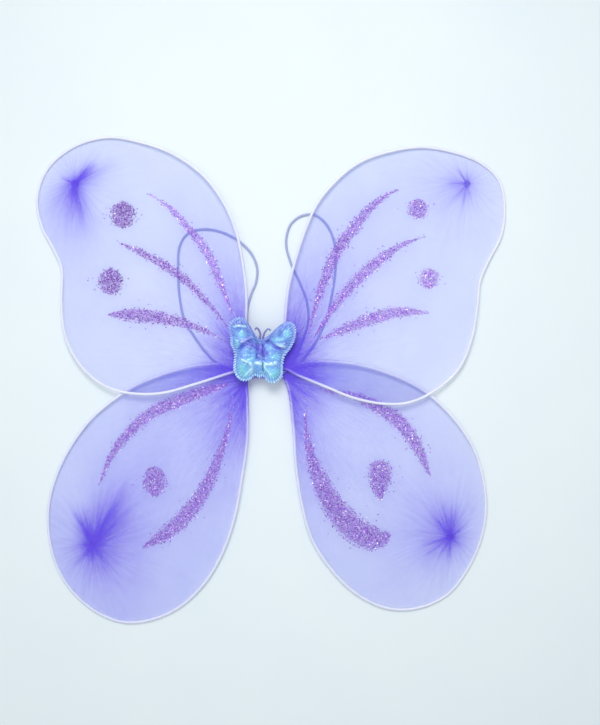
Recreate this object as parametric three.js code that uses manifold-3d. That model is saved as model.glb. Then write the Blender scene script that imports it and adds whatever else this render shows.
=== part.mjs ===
// A pair of dress-up fairy wings, lying flat with the ornament up.
// Four wire loops, each pulled into a nylon sleeve, are bound together at a small hub.
// A padded film butterfly is glued on the hub, and two elastic arm loops are knotted behind it.
// Millimetres. +Z is up, +Y points to the top of the wings, and the origin is under the hub, on
// the back patch's flat face, which rests on the surface that the wings lie on.

import * as THREE from 'three';
import { mergeVertices } from 'three/addons/utils/BufferGeometryUtils.js';
import Module from 'manifold-3d';

const wasm = await Module();
wasm.setup();

// Driving dimensions
const WIRE_DIAMETER = 2.2;
const WIRE_SIDES = 6;
const WIRE_STEPS = 60;
const LEG_STEPS = 14;
const SLEEVE_THICKNESS = 0.8;
const SLEEVE_INSET = 2.3;
const SLEEVE_SAMPLES = 56;
const ROOT_SLEEVE_SAMPLES = 9;
const BEND_GAP = 1.2;
const BEND_SLEEVE_GAP = 8;
const UPPER_ROOT_HEIGHT = 12;
const LOWER_ROOT_HEIGHT = 7.5;
const UPPER_TILT = THREE.MathUtils.degToRad(2);
const LOWER_TILT = THREE.MathUtils.degToRad(1.2);
const TIE_INNER = [2.7, 1.5];
const TIE_WALL = 0.9;
const TIE_LENGTH = 2.8;
const TIE_REACH = 13.8;
const KNOT_RADIUS = 3.6;
const KNOT_THICKNESS = 1.2;
const GLITTER_THICKNESS = 0.4;
const GLITTER_GAP = 0.35;
const STRAP_DIAMETER = 2.4;
const STRAP_SIDES = 8;
const STRAP_STEPS = 60;
const PATCH_SIZE = [48, 24, 1.2];
const PATCH_MIDDLE = 5.6;
const WRAP_SIZE = [24, 14.6, 9.6];
const WRAP_WALL = 0.9;
const WRAP_CENTRE = [0, 0.5, 9.75];
const STRAP_KNOT_SIZE = [10, 8.4, 3.2];
const STRAP_KNOT_HEIGHT = 3.15;
const GLUE_SIZE = [20, 13, 1.3];
const GLUE_CENTRE = [-2.5, 4.5, 15.6];
const ORNAMENT_CENTRE = [-5, 21];
const ORNAMENT_BASE = 16.6;
const ORNAMENT_RISE = 0.13;
const ORNAMENT_SEGMENTS = 38;
const ANTENNA_DIAMETER = 1.2;

// Materials
const surface = (color, roughness, metalness = 0) =>
  new THREE.MeshStandardMaterial({ color, roughness, metalness });
const sheathWhite = surface(0xe9e8fb, 0.45);
const nylonLilac = surface(0xa9a4f3, 0.7);
const nylonDeep = surface(0x6a50dc, 0.8);
const threadViolet = surface(0x6f5ad8, 0.8);
const glitterPink = surface(0xa865bb, 0.35, 0.3);
const elasticLilac = surface(0x8c90c8, 0.85);
const feltPurple = surface(0x6d55c9, 0.95);
const tapeWhite = surface(0xd9d8ee, 0.6);
const glueClear = surface(0xe6e4ea, 0.3);
const backingFilm = surface(0x8ea2e0, 0.5);
const waddingWhite = surface(0xf1f1f4, 0.95);
const filmBlue = surface(0x6f8fe6, 0.25, 0.3);

// The four lobes, seen from the front. inner and outer are the two root legs, from the wrap to the
// line where the wire bends; rim is the free loop from one bend to the other; droop is the
// direction in which the lobe slopes down to the surface.
const LOBES = {
  upper_left: {
    rootHeight: UPPER_ROOT_HEIGHT,
    tilt: UPPER_TILT,
    droop: [-0.72, 0.69],
    tie: [-TIE_REACH, 4.5],
    inner: [[-3, 5.4], [-12, 5.4], [-18, 5.4], [-23, 10.5], [-22, 30], [-20, 55]],
    rim: [[-20, 80], [-24, 113], [-31, 145], [-43, 172], [-64, 200], [-95, 222], [-128, 234],
      [-162, 239], [-195, 230], [-222, 208], [-233, 179], [-229, 150], [-216, 125], [-208, 106],
      [-208, 70], [-205, 42], [-197, 20], [-180, -2], [-159, -16], [-132, -22], [-104, -21],
      [-68, -11], [-40, -2]],
    outer: [[-31, 0.6], [-24, 2.8], [-18, 3.6], [-12, 3.6], [-3, 3.6]],
    knot: [-195, 197],
    dots: [[-146, 160, 22, 27], [-158, 92, 22, 27]],
    streaks: [
      { width: 10, line: [[-122, 183], [-99, 168], [-77, 144], [-58, 119], [-48, 95], [-33, 58]] },
      { width: 11, line: [[-152, 133], [-124, 120], [-90, 100], [-66, 78], [-48, 58], [-39, 46]] },
      { width: 14, line: [[-160, 58], [-140, 59], [-112, 56], [-88, 51], [-66, 42], [-44, 33]] },
    ],
  },
  upper_right: {
    rootHeight: UPPER_ROOT_HEIGHT,
    tilt: UPPER_TILT,
    droop: [0.74, 0.67],
    tie: [TIE_REACH, 4.5],
    inner: [[3, 5.4], [12, 5.4], [16, 5.5], [17.7, 10.2], [18.6, 30], [20, 57]],
    rim: [[22.5, 82], [28, 106], [40, 144], [53, 172], [71, 194], [95, 213], [125, 224],
      [159, 229], [191, 224], [219, 213], [237, 196], [243, 172], [240, 140], [227, 114],
      [218, 93], [215, 66], [209, 33], [195, 2], [168, -21], [144, -31], [119, -32], [89, -26],
      [59, -14], [37, -5]],
    outer: [[28, -0.8], [22.5, 2.4], [17.6, 3.6], [12, 3.6], [3, 3.6]],
    knot: [205, 192],
    dots: [[155, 166, 20.5, 20.5], [166, 95, 19.5, 21.5]],
    streaks: [
      { width: 12, line: [[137, 188], [112, 172], [89, 146], [70, 118], [54, 78], [41, 30]] },
      { width: 12, line: [[163, 139], [131, 125], [104, 104], [82, 82], [63, 57], [46, 30]] },
      { width: 12, line: [[168, 60], [135, 61], [104, 53], [80, 43], [57, 34]] },
    ],
  },
  lower_left: {
    rootHeight: LOWER_ROOT_HEIGHT,
    tilt: LOWER_TILT,
    droop: [-0.65, -0.76],
    tie: [-TIE_REACH, -3.5],
    inner: [[-3, -4.4], [-12, -4.4], [-17.4, -4.8], [-19.5, -10]],
    rim: [[-19, -24], [-19, -67], [-24.5, -108], [-32, -148], [-44, -183], [-62, -214],
      [-88, -239], [-116, -252], [-143, -255], [-166, -248], [-188, -233], [-207, -210],
      [-218, -183], [-222, -149], [-218, -120], [-204, -85], [-177, -47], [-138, -17], [-109, -4],
      [-78, 5], [-46, 8]],
    outer: [[-35, 5.4], [-26, 0], [-18, -2.6], [-12, -2.6], [-3, -2.6]],
    knot: [-177, -176],
    dots: [[-113, -111, 22, 31]],
    streaks: [
      { width: 14, line: [[-39, -13], [-69, -22], [-93, -31], [-118, -43], [-143, -66],
        [-160, -91], [-170, -115]] },
      { width: 14, line: [[-34, -30], [-38, -56], [-47, -84], [-60, -115], [-76, -139],
        [-97, -161], [-127, -180]] },
    ],
  },
  lower_right: {
    rootHeight: LOWER_ROOT_HEIGHT,
    tilt: LOWER_TILT,
    droop: [0.68, -0.73],
    tie: [TIE_REACH, -3.5],
    inner: [[3, -4.4], [12, -4.4], [17.6, -4.8], [21, -10]],
    rim: [[24, -20], [28, -55], [31, -98], [37, -136], [47, -170], [66, -200], [90, -224],
      [118, -239], [142, -242], [166, -237], [188, -224], [207, -198], [219, -170], [224, -141],
      [221, -108], [211, -77], [190, -46], [166, -23], [145, -10], [118, 1], [87, 8.5],
      [47, 10.5]],
    outer: [[34, 7.6], [25.5, 4.2], [19.3, 1], [15.8, -2.1], [12, -2.6], [3, -2.6]],
    knot: [188, -168],
    dots: [[116, -110, 23, 42]],
    streaks: [
      { width: 14, line: [[52, -17], [92, -25], [118, -38], [138, -53], [154, -76], [168, -108]] },
      { width: 24, blunt: true, line: [[40, -22], [41, -55], [46, -86], [57, -114], [72, -141],
        [90, -160], [112, -170], [127, -165]] },
    ],
  },
};

// Arm loops: both ends of each loop meet one knot behind the hub.
const LIE = STRAP_DIAMETER / 2;
const OVER_PATCH = 2.85;
const STRAPS = {
  left_strap: [
    [-18.6, -0.4, OVER_PATCH], [-26, 1.6, OVER_PATCH], [-37, 5, 1.7], [-50, 9.5, LIE],
    [-62, 21, LIE], [-73, 36, LIE], [-83, 53, LIE], [-88, 76, LIE], [-89.5, 102, LIE],
    [-88, 128, LIE], [-80, 141, LIE], [-66, 145.5, LIE], [-46, 143, LIE], [-27, 133, LIE],
    [-14.5, 120, LIE], [-9, 106, LIE], [-10, 92, LIE], [-15, 79, LIE], [-18.5, 66, LIE],
    [-19.5, 50, LIE], [-20.5, 35, 1.35], [-20, 23, 2.3], [-17, 13, OVER_PATCH],
    [-14.4, 6.8, OVER_PATCH],
  ],
  right_strap: [
    [17.5, 3.4, OVER_PATCH], [25, 8.5, OVER_PATCH], [32, 20, 1.9], [38, 34, LIE],
    [43, 52, LIE], [41.5, 72, LIE], [34, 92, LIE], [25, 112, LIE], [20.5, 132, LIE],
    [25, 150, LIE], [36, 159, LIE], [50, 160, LIE], [62, 150, LIE], [70, 130, LIE],
    [71, 108, LIE], [68, 84, LIE], [63, 60, LIE], [54, 37, LIE], [41, 17, 1.6],
    [28, 3, OVER_PATCH], [18.2, -1.4, OVER_PATCH],
  ],
};
const STRAP_KNOTS = { left_strap_knot: [-13, 1], right_strap_knot: [12, 1] };

// The butterfly's outline, anticlockwise from its right wing's lower edge.
const BUTTERFLY_OUTLINE = [
  [17.5, 7], [19.3, 16], [25, 23.5], [29.5, 33], [30.5, 43], [27.5, 49.3], [21, 50.6],
  [14, 47], [5.3, 39], [-1.8, 34.6], [-7.7, 35.2], [-11.5, 40], [-17, 49], [-21.5, 54.3],
  [-27.5, 55.3], [-34, 52], [-37, 46], [-35.5, 36], [-35, 28], [-31.3, 19], [-32, 10],
  [-32, 2], [-27.5, -6.5], [-20.7, -9], [-14.5, -7], [-10.5, -3.6], [-6.5, -5.6], [-2.4, -4.2],
  [1, -9], [6.5, -11], [13, -8.6], [17, -3],
];
const ANTENNAE = {
  ornament_antenna_left: [
    [-5.6, 36.3, 18], [-5.2, 40, 18.8], [-6.6, 43.4, 19.4], [-9, 44.8, 19.8], [-10.6, 42.8, 20],
  ],
  ornament_antenna_right: [
    [-2.9, 36, 18], [-1.8, 39.6, 18.8], [0.6, 42.6, 19.4], [3.6, 43.6, 19.8], [5.2, 41.6, 20],
  ],
};

const wings = new THREE.Group();

function addMesh(parent, name, geometry, material) {
  const mesh = new THREE.Mesh(geometry, material);
  mesh.name = name;
  parent.add(mesh);
  return mesh;
}

// One stretch of a longer curve, by arc length.
class Stretch extends THREE.Curve {
  constructor(whole, from, to) {
    super();
    this.whole = whole;
    this.from = from;
    this.to = to;
  }

  getPoint(t, target) {
    return this.whole.getPointAt(this.from + (this.to - this.from) * t, target);
  }
}

function smoothCurve(points, closed = false) {
  const vectors = points.map(([x, y, z = 0]) => new THREE.Vector3(x, y, z));
  const curve = new THREE.CatmullRomCurve3(vectors, closed, 'centripetal');
  curve.arcLengthDivisions = 1200;
  return curve;
}

function roundSection(radius, sides) {
  const corners = [];
  for (let i = 0; i < sides; i += 1) {
    const angle = (i + 0.5) * 2 * Math.PI / sides;
    corners.push(new THREE.Vector2(radius * Math.cos(angle), radius * Math.sin(angle)));
  }
  return new THREE.Shape(corners);
}

function tubeAlong(curve, diameter, sides, steps) {
  return new THREE.ExtrudeGeometry(roundSection(diameter / 2, sides), {
    extrudePath: curve,
    steps,
    curveSegments: sides,
  });
}

function plate(outline, thickness, bottom) {
  const shape = new THREE.Shape(outline.map(([x, y]) => new THREE.Vector2(x, y)));
  const geometry = new THREE.ExtrudeGeometry(shape, { depth: thickness, bevelEnabled: false });
  return geometry.translate(0, 0, bottom);
}

function toManifold(geometry) {
  const bare = geometry.clone();
  bare.deleteAttribute('normal');
  bare.deleteAttribute('uv');
  const merged = mergeVertices(bare, 1e-4);
  return new wasm.Manifold(new wasm.Mesh({
    numProp: 3,
    vertProperties: new Float32Array(merged.attributes.position.array),
    triVerts: new Uint32Array(merged.index.array),
  }));
}

function joined(first, second) {
  const mesh = toManifold(first).add(toManifold(second)).getMesh();
  const geometry = new THREE.BufferGeometry();
  geometry.setAttribute('position', new THREE.BufferAttribute(mesh.vertProperties, 3));
  geometry.setIndex(new THREE.BufferAttribute(mesh.triVerts, 1));
  return geometry;
}

// Where along the curve, from 0 to 1, it passes nearest to a point.
function placeOn(curve, [x, y]) {
  const target = new THREE.Vector3(x, y, 0);
  const tries = 4000;
  let best = 0;
  let nearest = Infinity;
  for (let i = 0; i <= tries; i += 1) {
    const distance = curve.getPointAt(i / tries).distanceTo(target);
    if (distance < nearest) {
      nearest = distance;
      best = i / tries;
    }
  }
  return best;
}

// Points along a stretch of the wire, moved sideways to the inside of the loop.
function insetPoints(curve, from, to, samples, inset, side) {
  const points = [];
  for (let i = 0; i <= samples; i += 1) {
    const u = from + (to - from) * i / samples;
    const point = curve.getPointAt(u);
    const tangent = curve.getTangentAt(u);
    points.push([point.x - side * tangent.y * inset, point.y + side * tangent.x * inset]);
  }
  return points;
}

// An oval band whose bore runs along X.
function band(innerHalfY, innerHalfZ, wall, length) {
  const shape = new THREE.Shape();
  shape.absellipse(0, 0, innerHalfY + wall, innerHalfZ + wall, 0, 2 * Math.PI);
  const bore = new THREE.Path();
  bore.absellipse(0, 0, innerHalfY, innerHalfZ, 0, 2 * Math.PI, true);
  shape.holes.push(bore);
  return alongX(shape, length, 8);
}

function alongX(shape, length, curveSegments) {
  const geometry = new THREE.ExtrudeGeometry(shape, {
    depth: length,
    bevelEnabled: false,
    curveSegments,
  });
  geometry.translate(0, 0, -length / 2);
  const turn = new THREE.Matrix4().makeBasis(
    new THREE.Vector3(0, 1, 0),
    new THREE.Vector3(0, 0, 1),
    new THREE.Vector3(1, 0, 0),
  );
  return geometry.applyMatrix4(turn);
}

function roundedRectangle(path, width, height, radius) {
  const w = width / 2 - radius;
  const h = height / 2 - radius;
  path.absarc(w, h, radius, 0, Math.PI / 2);
  path.absarc(-w, h, radius, Math.PI / 2, Math.PI);
  path.absarc(-w, -h, radius, Math.PI, Math.PI * 1.5);
  path.absarc(w, -h, radius, Math.PI * 1.5, Math.PI * 2);
  return path;
}

// A round pebble with flat faces, stretched to size.
function pebble([width, depth, height], segments = 16) {
  const profile = [[0, -0.5], [0.34, -0.5], [0.5, 0], [0.34, 0.5], [0, 0.5]];
  const geometry = new THREE.LatheGeometry(
    profile.map(([x, y]) => new THREE.Vector2(x, y)),
    segments,
  );
  geometry.rotateX(Math.PI / 2);
  return geometry.scale(width, depth, height);
}

function streakOutline({ line, width, blunt = false }) {
  const curve = smoothCurve(line);
  const steps = 11;
  const left = [];
  const right = [];
  for (let i = 0; i <= steps; i += 1) {
    const t = i / steps;
    const swell = blunt ? 0.14 + 0.86 * t ** 2.2 : Math.sin(Math.PI * t) ** 0.8;
    const half = Math.max(0.5, swell * width / 2);
    const point = curve.getPointAt(t);
    const tangent = curve.getTangentAt(t);
    left.push([point.x - tangent.y * half, point.y + tangent.x * half]);
    right.push([point.x + tangent.y * half, point.y - tangent.x * half]);
  }
  return [...right, ...left.reverse()];
}

function ovalOutline([x, y, width, height]) {
  const corners = 18;
  const points = [];
  for (let i = 0; i < corners; i += 1) {
    const angle = i * 2 * Math.PI / corners;
    points.push([x + width / 2 * Math.cos(angle), y + height / 2 * Math.sin(angle)]);
  }
  return points;
}

function addGlitter(parent, name, lobe) {
  const bottom = SLEEVE_THICKNESS / 2 + GLITTER_GAP;
  lobe.streaks.forEach((streak, i) => {
    const geometry = plate(streakOutline(streak), GLITTER_THICKNESS, bottom);
    addMesh(parent, `${name}_glitter_streak_${i + 1}`, geometry, glitterPink);
  });
  lobe.dots.forEach((dot, i) => {
    const geometry = plate(ovalOutline(dot), GLITTER_THICKNESS, bottom);
    addMesh(parent, `${name}_glitter_dot_${i + 1}`, geometry, glitterPink);
  });
}

// One lobe lies in its own sloping plane: z = 0 of the group is the middle of its wire.
function addLobe(name, lobe) {
  const plane = new THREE.Group();
  const [dx, dy] = lobe.droop;
  plane.quaternion.setFromAxisAngle(new THREE.Vector3(-dy, dx, 0).normalize(), lobe.tilt);
  plane.position.z = lobe.rootHeight;
  wings.add(plane);

  const wire = smoothCurve([...lobe.inner, ...lobe.rim, ...lobe.outer]);
  const millimetre = 1 / wire.getLength();
  const bendIn = placeOn(wire, lobe.rim[0]);
  const bendOut = placeOn(wire, lobe.rim[lobe.rim.length - 1]);
  const gap = BEND_GAP / 2 * millimetre;
  const side = name.endsWith('left') === name.startsWith('upper') ? 1 : -1;

  const loop = new Stretch(wire, bendIn + gap, bendOut - gap);
  addMesh(plane, `${name}_wire`, tubeAlong(loop, WIRE_DIAMETER, WIRE_SIDES, WIRE_STEPS), sheathWhite);

  const innerLeg = new Stretch(wire, 0, bendIn - gap);
  const outerLeg = new Stretch(wire, bendOut + gap, 1);
  const root = joined(
    tubeAlong(innerLeg, WIRE_DIAMETER, WIRE_SIDES, LEG_STEPS),
    tubeAlong(outerLeg, WIRE_DIAMETER, WIRE_SIDES, LEG_STEPS),
  );
  addMesh(plane, `${name}_wire_root`, root, sheathWhite);

  const sleeveGap = BEND_SLEEVE_GAP * millimetre;
  const sleeve = insetPoints(
    wire, bendIn + sleeveGap, bendOut - sleeveGap, SLEEVE_SAMPLES, SLEEVE_INSET, side,
  );
  const sleeveBottom = -SLEEVE_THICKNESS / 2;
  addMesh(plane, `${name}_sleeve`, plate(sleeve, SLEEVE_THICKNESS, sleeveBottom), nylonLilac);

  const rootSleeve = rootSleeveOutline(wire, lobe, bendIn, bendOut, millimetre, side);
  addMesh(plane, `${name}_sleeve_root`, plate(rootSleeve, SLEEVE_THICKNESS, sleeveBottom), nylonDeep);

  const tie = addMesh(plane, `${name}_root_tie`, band(...TIE_INNER, TIE_WALL, TIE_LENGTH), threadViolet);
  tie.position.set(...lobe.tie, 0);

  const knotSize = [KNOT_RADIUS * 2, KNOT_RADIUS * 2, KNOT_THICKNESS];
  const knot = addMesh(plane, `${name}_toe_knot`, pebble(knotSize), nylonDeep);
  knot.position.set(...lobe.knot, -SLEEVE_THICKNESS / 2 - GLITTER_GAP - KNOT_THICKNESS / 2);

  addGlitter(plane, name, lobe);
}

// The gathered cloth between the two root legs, up to the bend.
function rootSleeveOutline(wire, lobe, bendIn, bendOut, millimetre, side) {
  const margin = 3 * millimetre;
  const start = placeOn(wire, lobe.inner[3]) + margin;
  const end = placeOn(wire, lobe.outer[0]);
  const inset = (from, to) =>
    insetPoints(wire, from, to, ROOT_SLEEVE_SAMPLES, SLEEVE_INSET, side);
  return [...inset(start, bendIn - margin), ...inset(bendOut + margin, end)];
}

function addStraps() {
  for (const [name, route] of Object.entries(STRAPS)) {
    const tube = tubeAlong(smoothCurve(route), STRAP_DIAMETER, STRAP_SIDES, STRAP_STEPS);
    addMesh(wings, name, tube, elasticLilac);
  }
  for (const [name, [x, y]] of Object.entries(STRAP_KNOTS)) {
    const knot = addMesh(wings, name, pebble(STRAP_KNOT_SIZE), elasticLilac);
    knot.position.set(x, y, STRAP_KNOT_HEIGHT);
  }
}

function addHub() {
  const [patchWidth, patchHeight, patchThickness] = PATCH_SIZE;
  const patch = ovalOutline([0, PATCH_MIDDLE, patchWidth, patchHeight]);
  addMesh(wings, 'back_patch', plate(patch, patchThickness, 0), feltPurple);

  const [length, width, height] = WRAP_SIZE;
  const shape = roundedRectangle(new THREE.Shape(), width, height, 2.4);
  const bore = roundedRectangle(new THREE.Path(), width - 2 * WRAP_WALL, height - 2 * WRAP_WALL, 1.5);
  shape.holes.push(bore);
  const wrap = addMesh(wings, 'hub_wrap', alongX(shape, length, 5), tapeWhite);
  wrap.position.set(...WRAP_CENTRE);

  const glue = addMesh(wings, 'glue_pad', pebble(GLUE_SIZE), glueClear);
  glue.position.set(...GLUE_CENTRE);
}

// A turned profile stretched out to the butterfly's outline: a radius of 1 is the outline itself.
// Both sides rise from the body line, so the wing tips stand a little proud.
function butterflySolid(profile) {
  const [cx, cy] = ORNAMENT_CENTRE;
  const outline = smoothCurve(BUTTERFLY_OUTLINE, true);
  const geometry = new THREE.LatheGeometry(
    profile.map(([r, h]) => new THREE.Vector2(r, h)),
    ORNAMENT_SEGMENTS,
  );
  const position = geometry.attributes.position;
  for (let i = 0; i < position.count; i += 1) {
    const radius = Math.hypot(position.getX(i), position.getZ(i));
    const turn = Math.atan2(position.getX(i), position.getZ(i)) / (2 * Math.PI);
    const edge = outline.getPointAt((turn + 1) % 1);
    const x = cx + (edge.x - cx) * radius;
    const y = cy + (edge.y - cy) * radius;
    const z = ORNAMENT_BASE + position.getY(i) + ORNAMENT_RISE * Math.abs(x - cx);
    position.setXYZ(i, x, y, z);
  }
  return geometry;
}

function addOrnament() {
  const backing = [[0, 0], [0.94, 0], [0.94, 0.7], [0, 0.7]];
  const padding = [
    [0, 1.1], [0.8, 1.1], [0.84, 1.5], [0.78, 2.9], [0.6, 4.1], [0.3, 4.6], [0, 4.7],
  ];
  const film = [
    [0, 5.05], [0.3, 4.95], [0.61, 4.45], [0.8, 3.15], [0.86, 1.6], [0.87, 1.05], [1, 1.05],
    [1, 1.45], [0.9, 1.6], [0.83, 3.5], [0.63, 4.9], [0.3, 5.4], [0, 5.5],
  ];
  addMesh(wings, 'ornament_backing', butterflySolid(backing), backingFilm);
  addMesh(wings, 'ornament_padding', butterflySolid(padding), waddingWhite);
  addMesh(wings, 'ornament_film', butterflySolid(film), filmBlue);
  for (const [name, route] of Object.entries(ANTENNAE)) {
    addMesh(wings, name, tubeAlong(smoothCurve(route), ANTENNA_DIAMETER, 8, 8), filmBlue);
  }
}

for (const [name, lobe] of Object.entries(LOBES)) {
  addLobe(name, lobe);
}
addStraps();
addHub();
addOrnament();

export default wings;
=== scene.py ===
"""Fairy wings: the looks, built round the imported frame. Laid flat with the ornament up, +Z up."""

import math

import bpy
import numpy as np
from mathutils import Matrix, Vector, geometry, kdtree, noise


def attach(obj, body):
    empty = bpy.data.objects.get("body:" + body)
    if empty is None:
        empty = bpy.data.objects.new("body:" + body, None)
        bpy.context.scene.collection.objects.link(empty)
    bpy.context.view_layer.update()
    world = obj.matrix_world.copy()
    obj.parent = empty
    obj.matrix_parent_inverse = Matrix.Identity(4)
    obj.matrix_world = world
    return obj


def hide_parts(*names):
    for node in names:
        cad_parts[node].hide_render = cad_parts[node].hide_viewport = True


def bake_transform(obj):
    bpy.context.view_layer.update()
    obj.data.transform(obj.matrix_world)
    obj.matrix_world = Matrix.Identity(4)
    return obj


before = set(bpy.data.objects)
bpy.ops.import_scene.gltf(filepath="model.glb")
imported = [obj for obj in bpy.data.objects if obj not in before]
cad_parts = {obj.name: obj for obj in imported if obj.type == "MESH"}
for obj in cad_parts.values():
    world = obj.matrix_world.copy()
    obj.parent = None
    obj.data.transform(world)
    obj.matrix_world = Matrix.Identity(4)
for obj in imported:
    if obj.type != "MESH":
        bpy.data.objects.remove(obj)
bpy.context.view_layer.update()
MM = 0.001

# Sizes in millimetres, as in the CAD source
WIRE_RADIUS = 1.1
STRAP_DIAMETER = 2.4
ORNAMENT_CENTRE = np.array([-5.0, 21.0])
ORNAMENT_BASE = 16.6
ORNAMENT_RISE = 0.13
PATCH_SIZE = (48, 24, 1.2)
PATCH_MIDDLE = 5.6
WRAP_SIZE = (24, 14.6, 9.6)
WRAP_WALL = 0.9
WRAP_CENTRE = (0, 0.5, 9.75)
GLUE_SIZE = (20, 13, 1.3)
GLUE_CENTRE = (-2.5, 4.5, 15.6)

# Sizes of the look's own, in millimetres. The wire is bare at its ends and then wound thicker.
RIM_RADIUS = 1.35
BARE_END = 16
THICKENS_OVER = 12
CLOTH_OVER_WIRE = 1.5
CLOTH_HALF_GAP = 0.32
FINEST_CLOTH, COARSER, CLOTH_LEVELS = 0.85, 1.5, 5
STRAP_SIDES = 16
LACE_WIDTH = 2.4
LACE_PITCH = 2.6
PUCKER_PITCH = 3.1

# The camera looks straight down, from over the middle of its view.
CAMERA_OVER = (34.7, 9.7)
CAMERA_HEIGHT = 1500.0
VIEW_HEIGHT = 739.5
SENSOR = 36.0

# Arm loops, as in the CAD source: both ends of each loop meet one knot behind the hub.
LIE = STRAP_DIAMETER / 2
OVER_PATCH = 2.85
STRAPS = {
    "left": [
        (-18.6, -0.4, OVER_PATCH), (-26, 1.6, OVER_PATCH), (-37, 5, 1.7), (-50, 9.5, LIE),
        (-62, 21, LIE), (-73, 36, LIE), (-83, 53, LIE), (-88, 76, LIE), (-89.5, 102, LIE),
        (-88, 128, LIE), (-80, 141, LIE), (-66, 145.5, LIE), (-46, 143, LIE), (-27, 133, LIE),
        (-14.5, 120, LIE), (-9, 106, LIE), (-10, 92, LIE), (-15, 79, LIE), (-18.5, 66, LIE),
        (-19.5, 50, LIE), (-20.5, 35, 1.35), (-20, 23, 2.3), (-17, 13, OVER_PATCH),
        (-14.4, 6.8, OVER_PATCH),
    ],
    "right": [
        (17.5, 3.4, OVER_PATCH), (25, 8.5, OVER_PATCH), (32, 20, 1.9), (38, 34, LIE),
        (43, 52, LIE), (41.5, 72, LIE), (34, 92, LIE), (25, 112, LIE), (20.5, 132, LIE),
        (25, 150, LIE), (36, 159, LIE), (50, 160, LIE), (62, 150, LIE), (70, 130, LIE),
        (71, 108, LIE), (68, 84, LIE), (63, 60, LIE), (54, 37, LIE), (41, 17, 1.6),
        (28, 3, OVER_PATCH), (18.2, -1.4, OVER_PATCH),
    ],
}
STRAP_KNOTS = {"left": (-13, 1, 3.15), "right": (12, 1, 3.15)}

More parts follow.
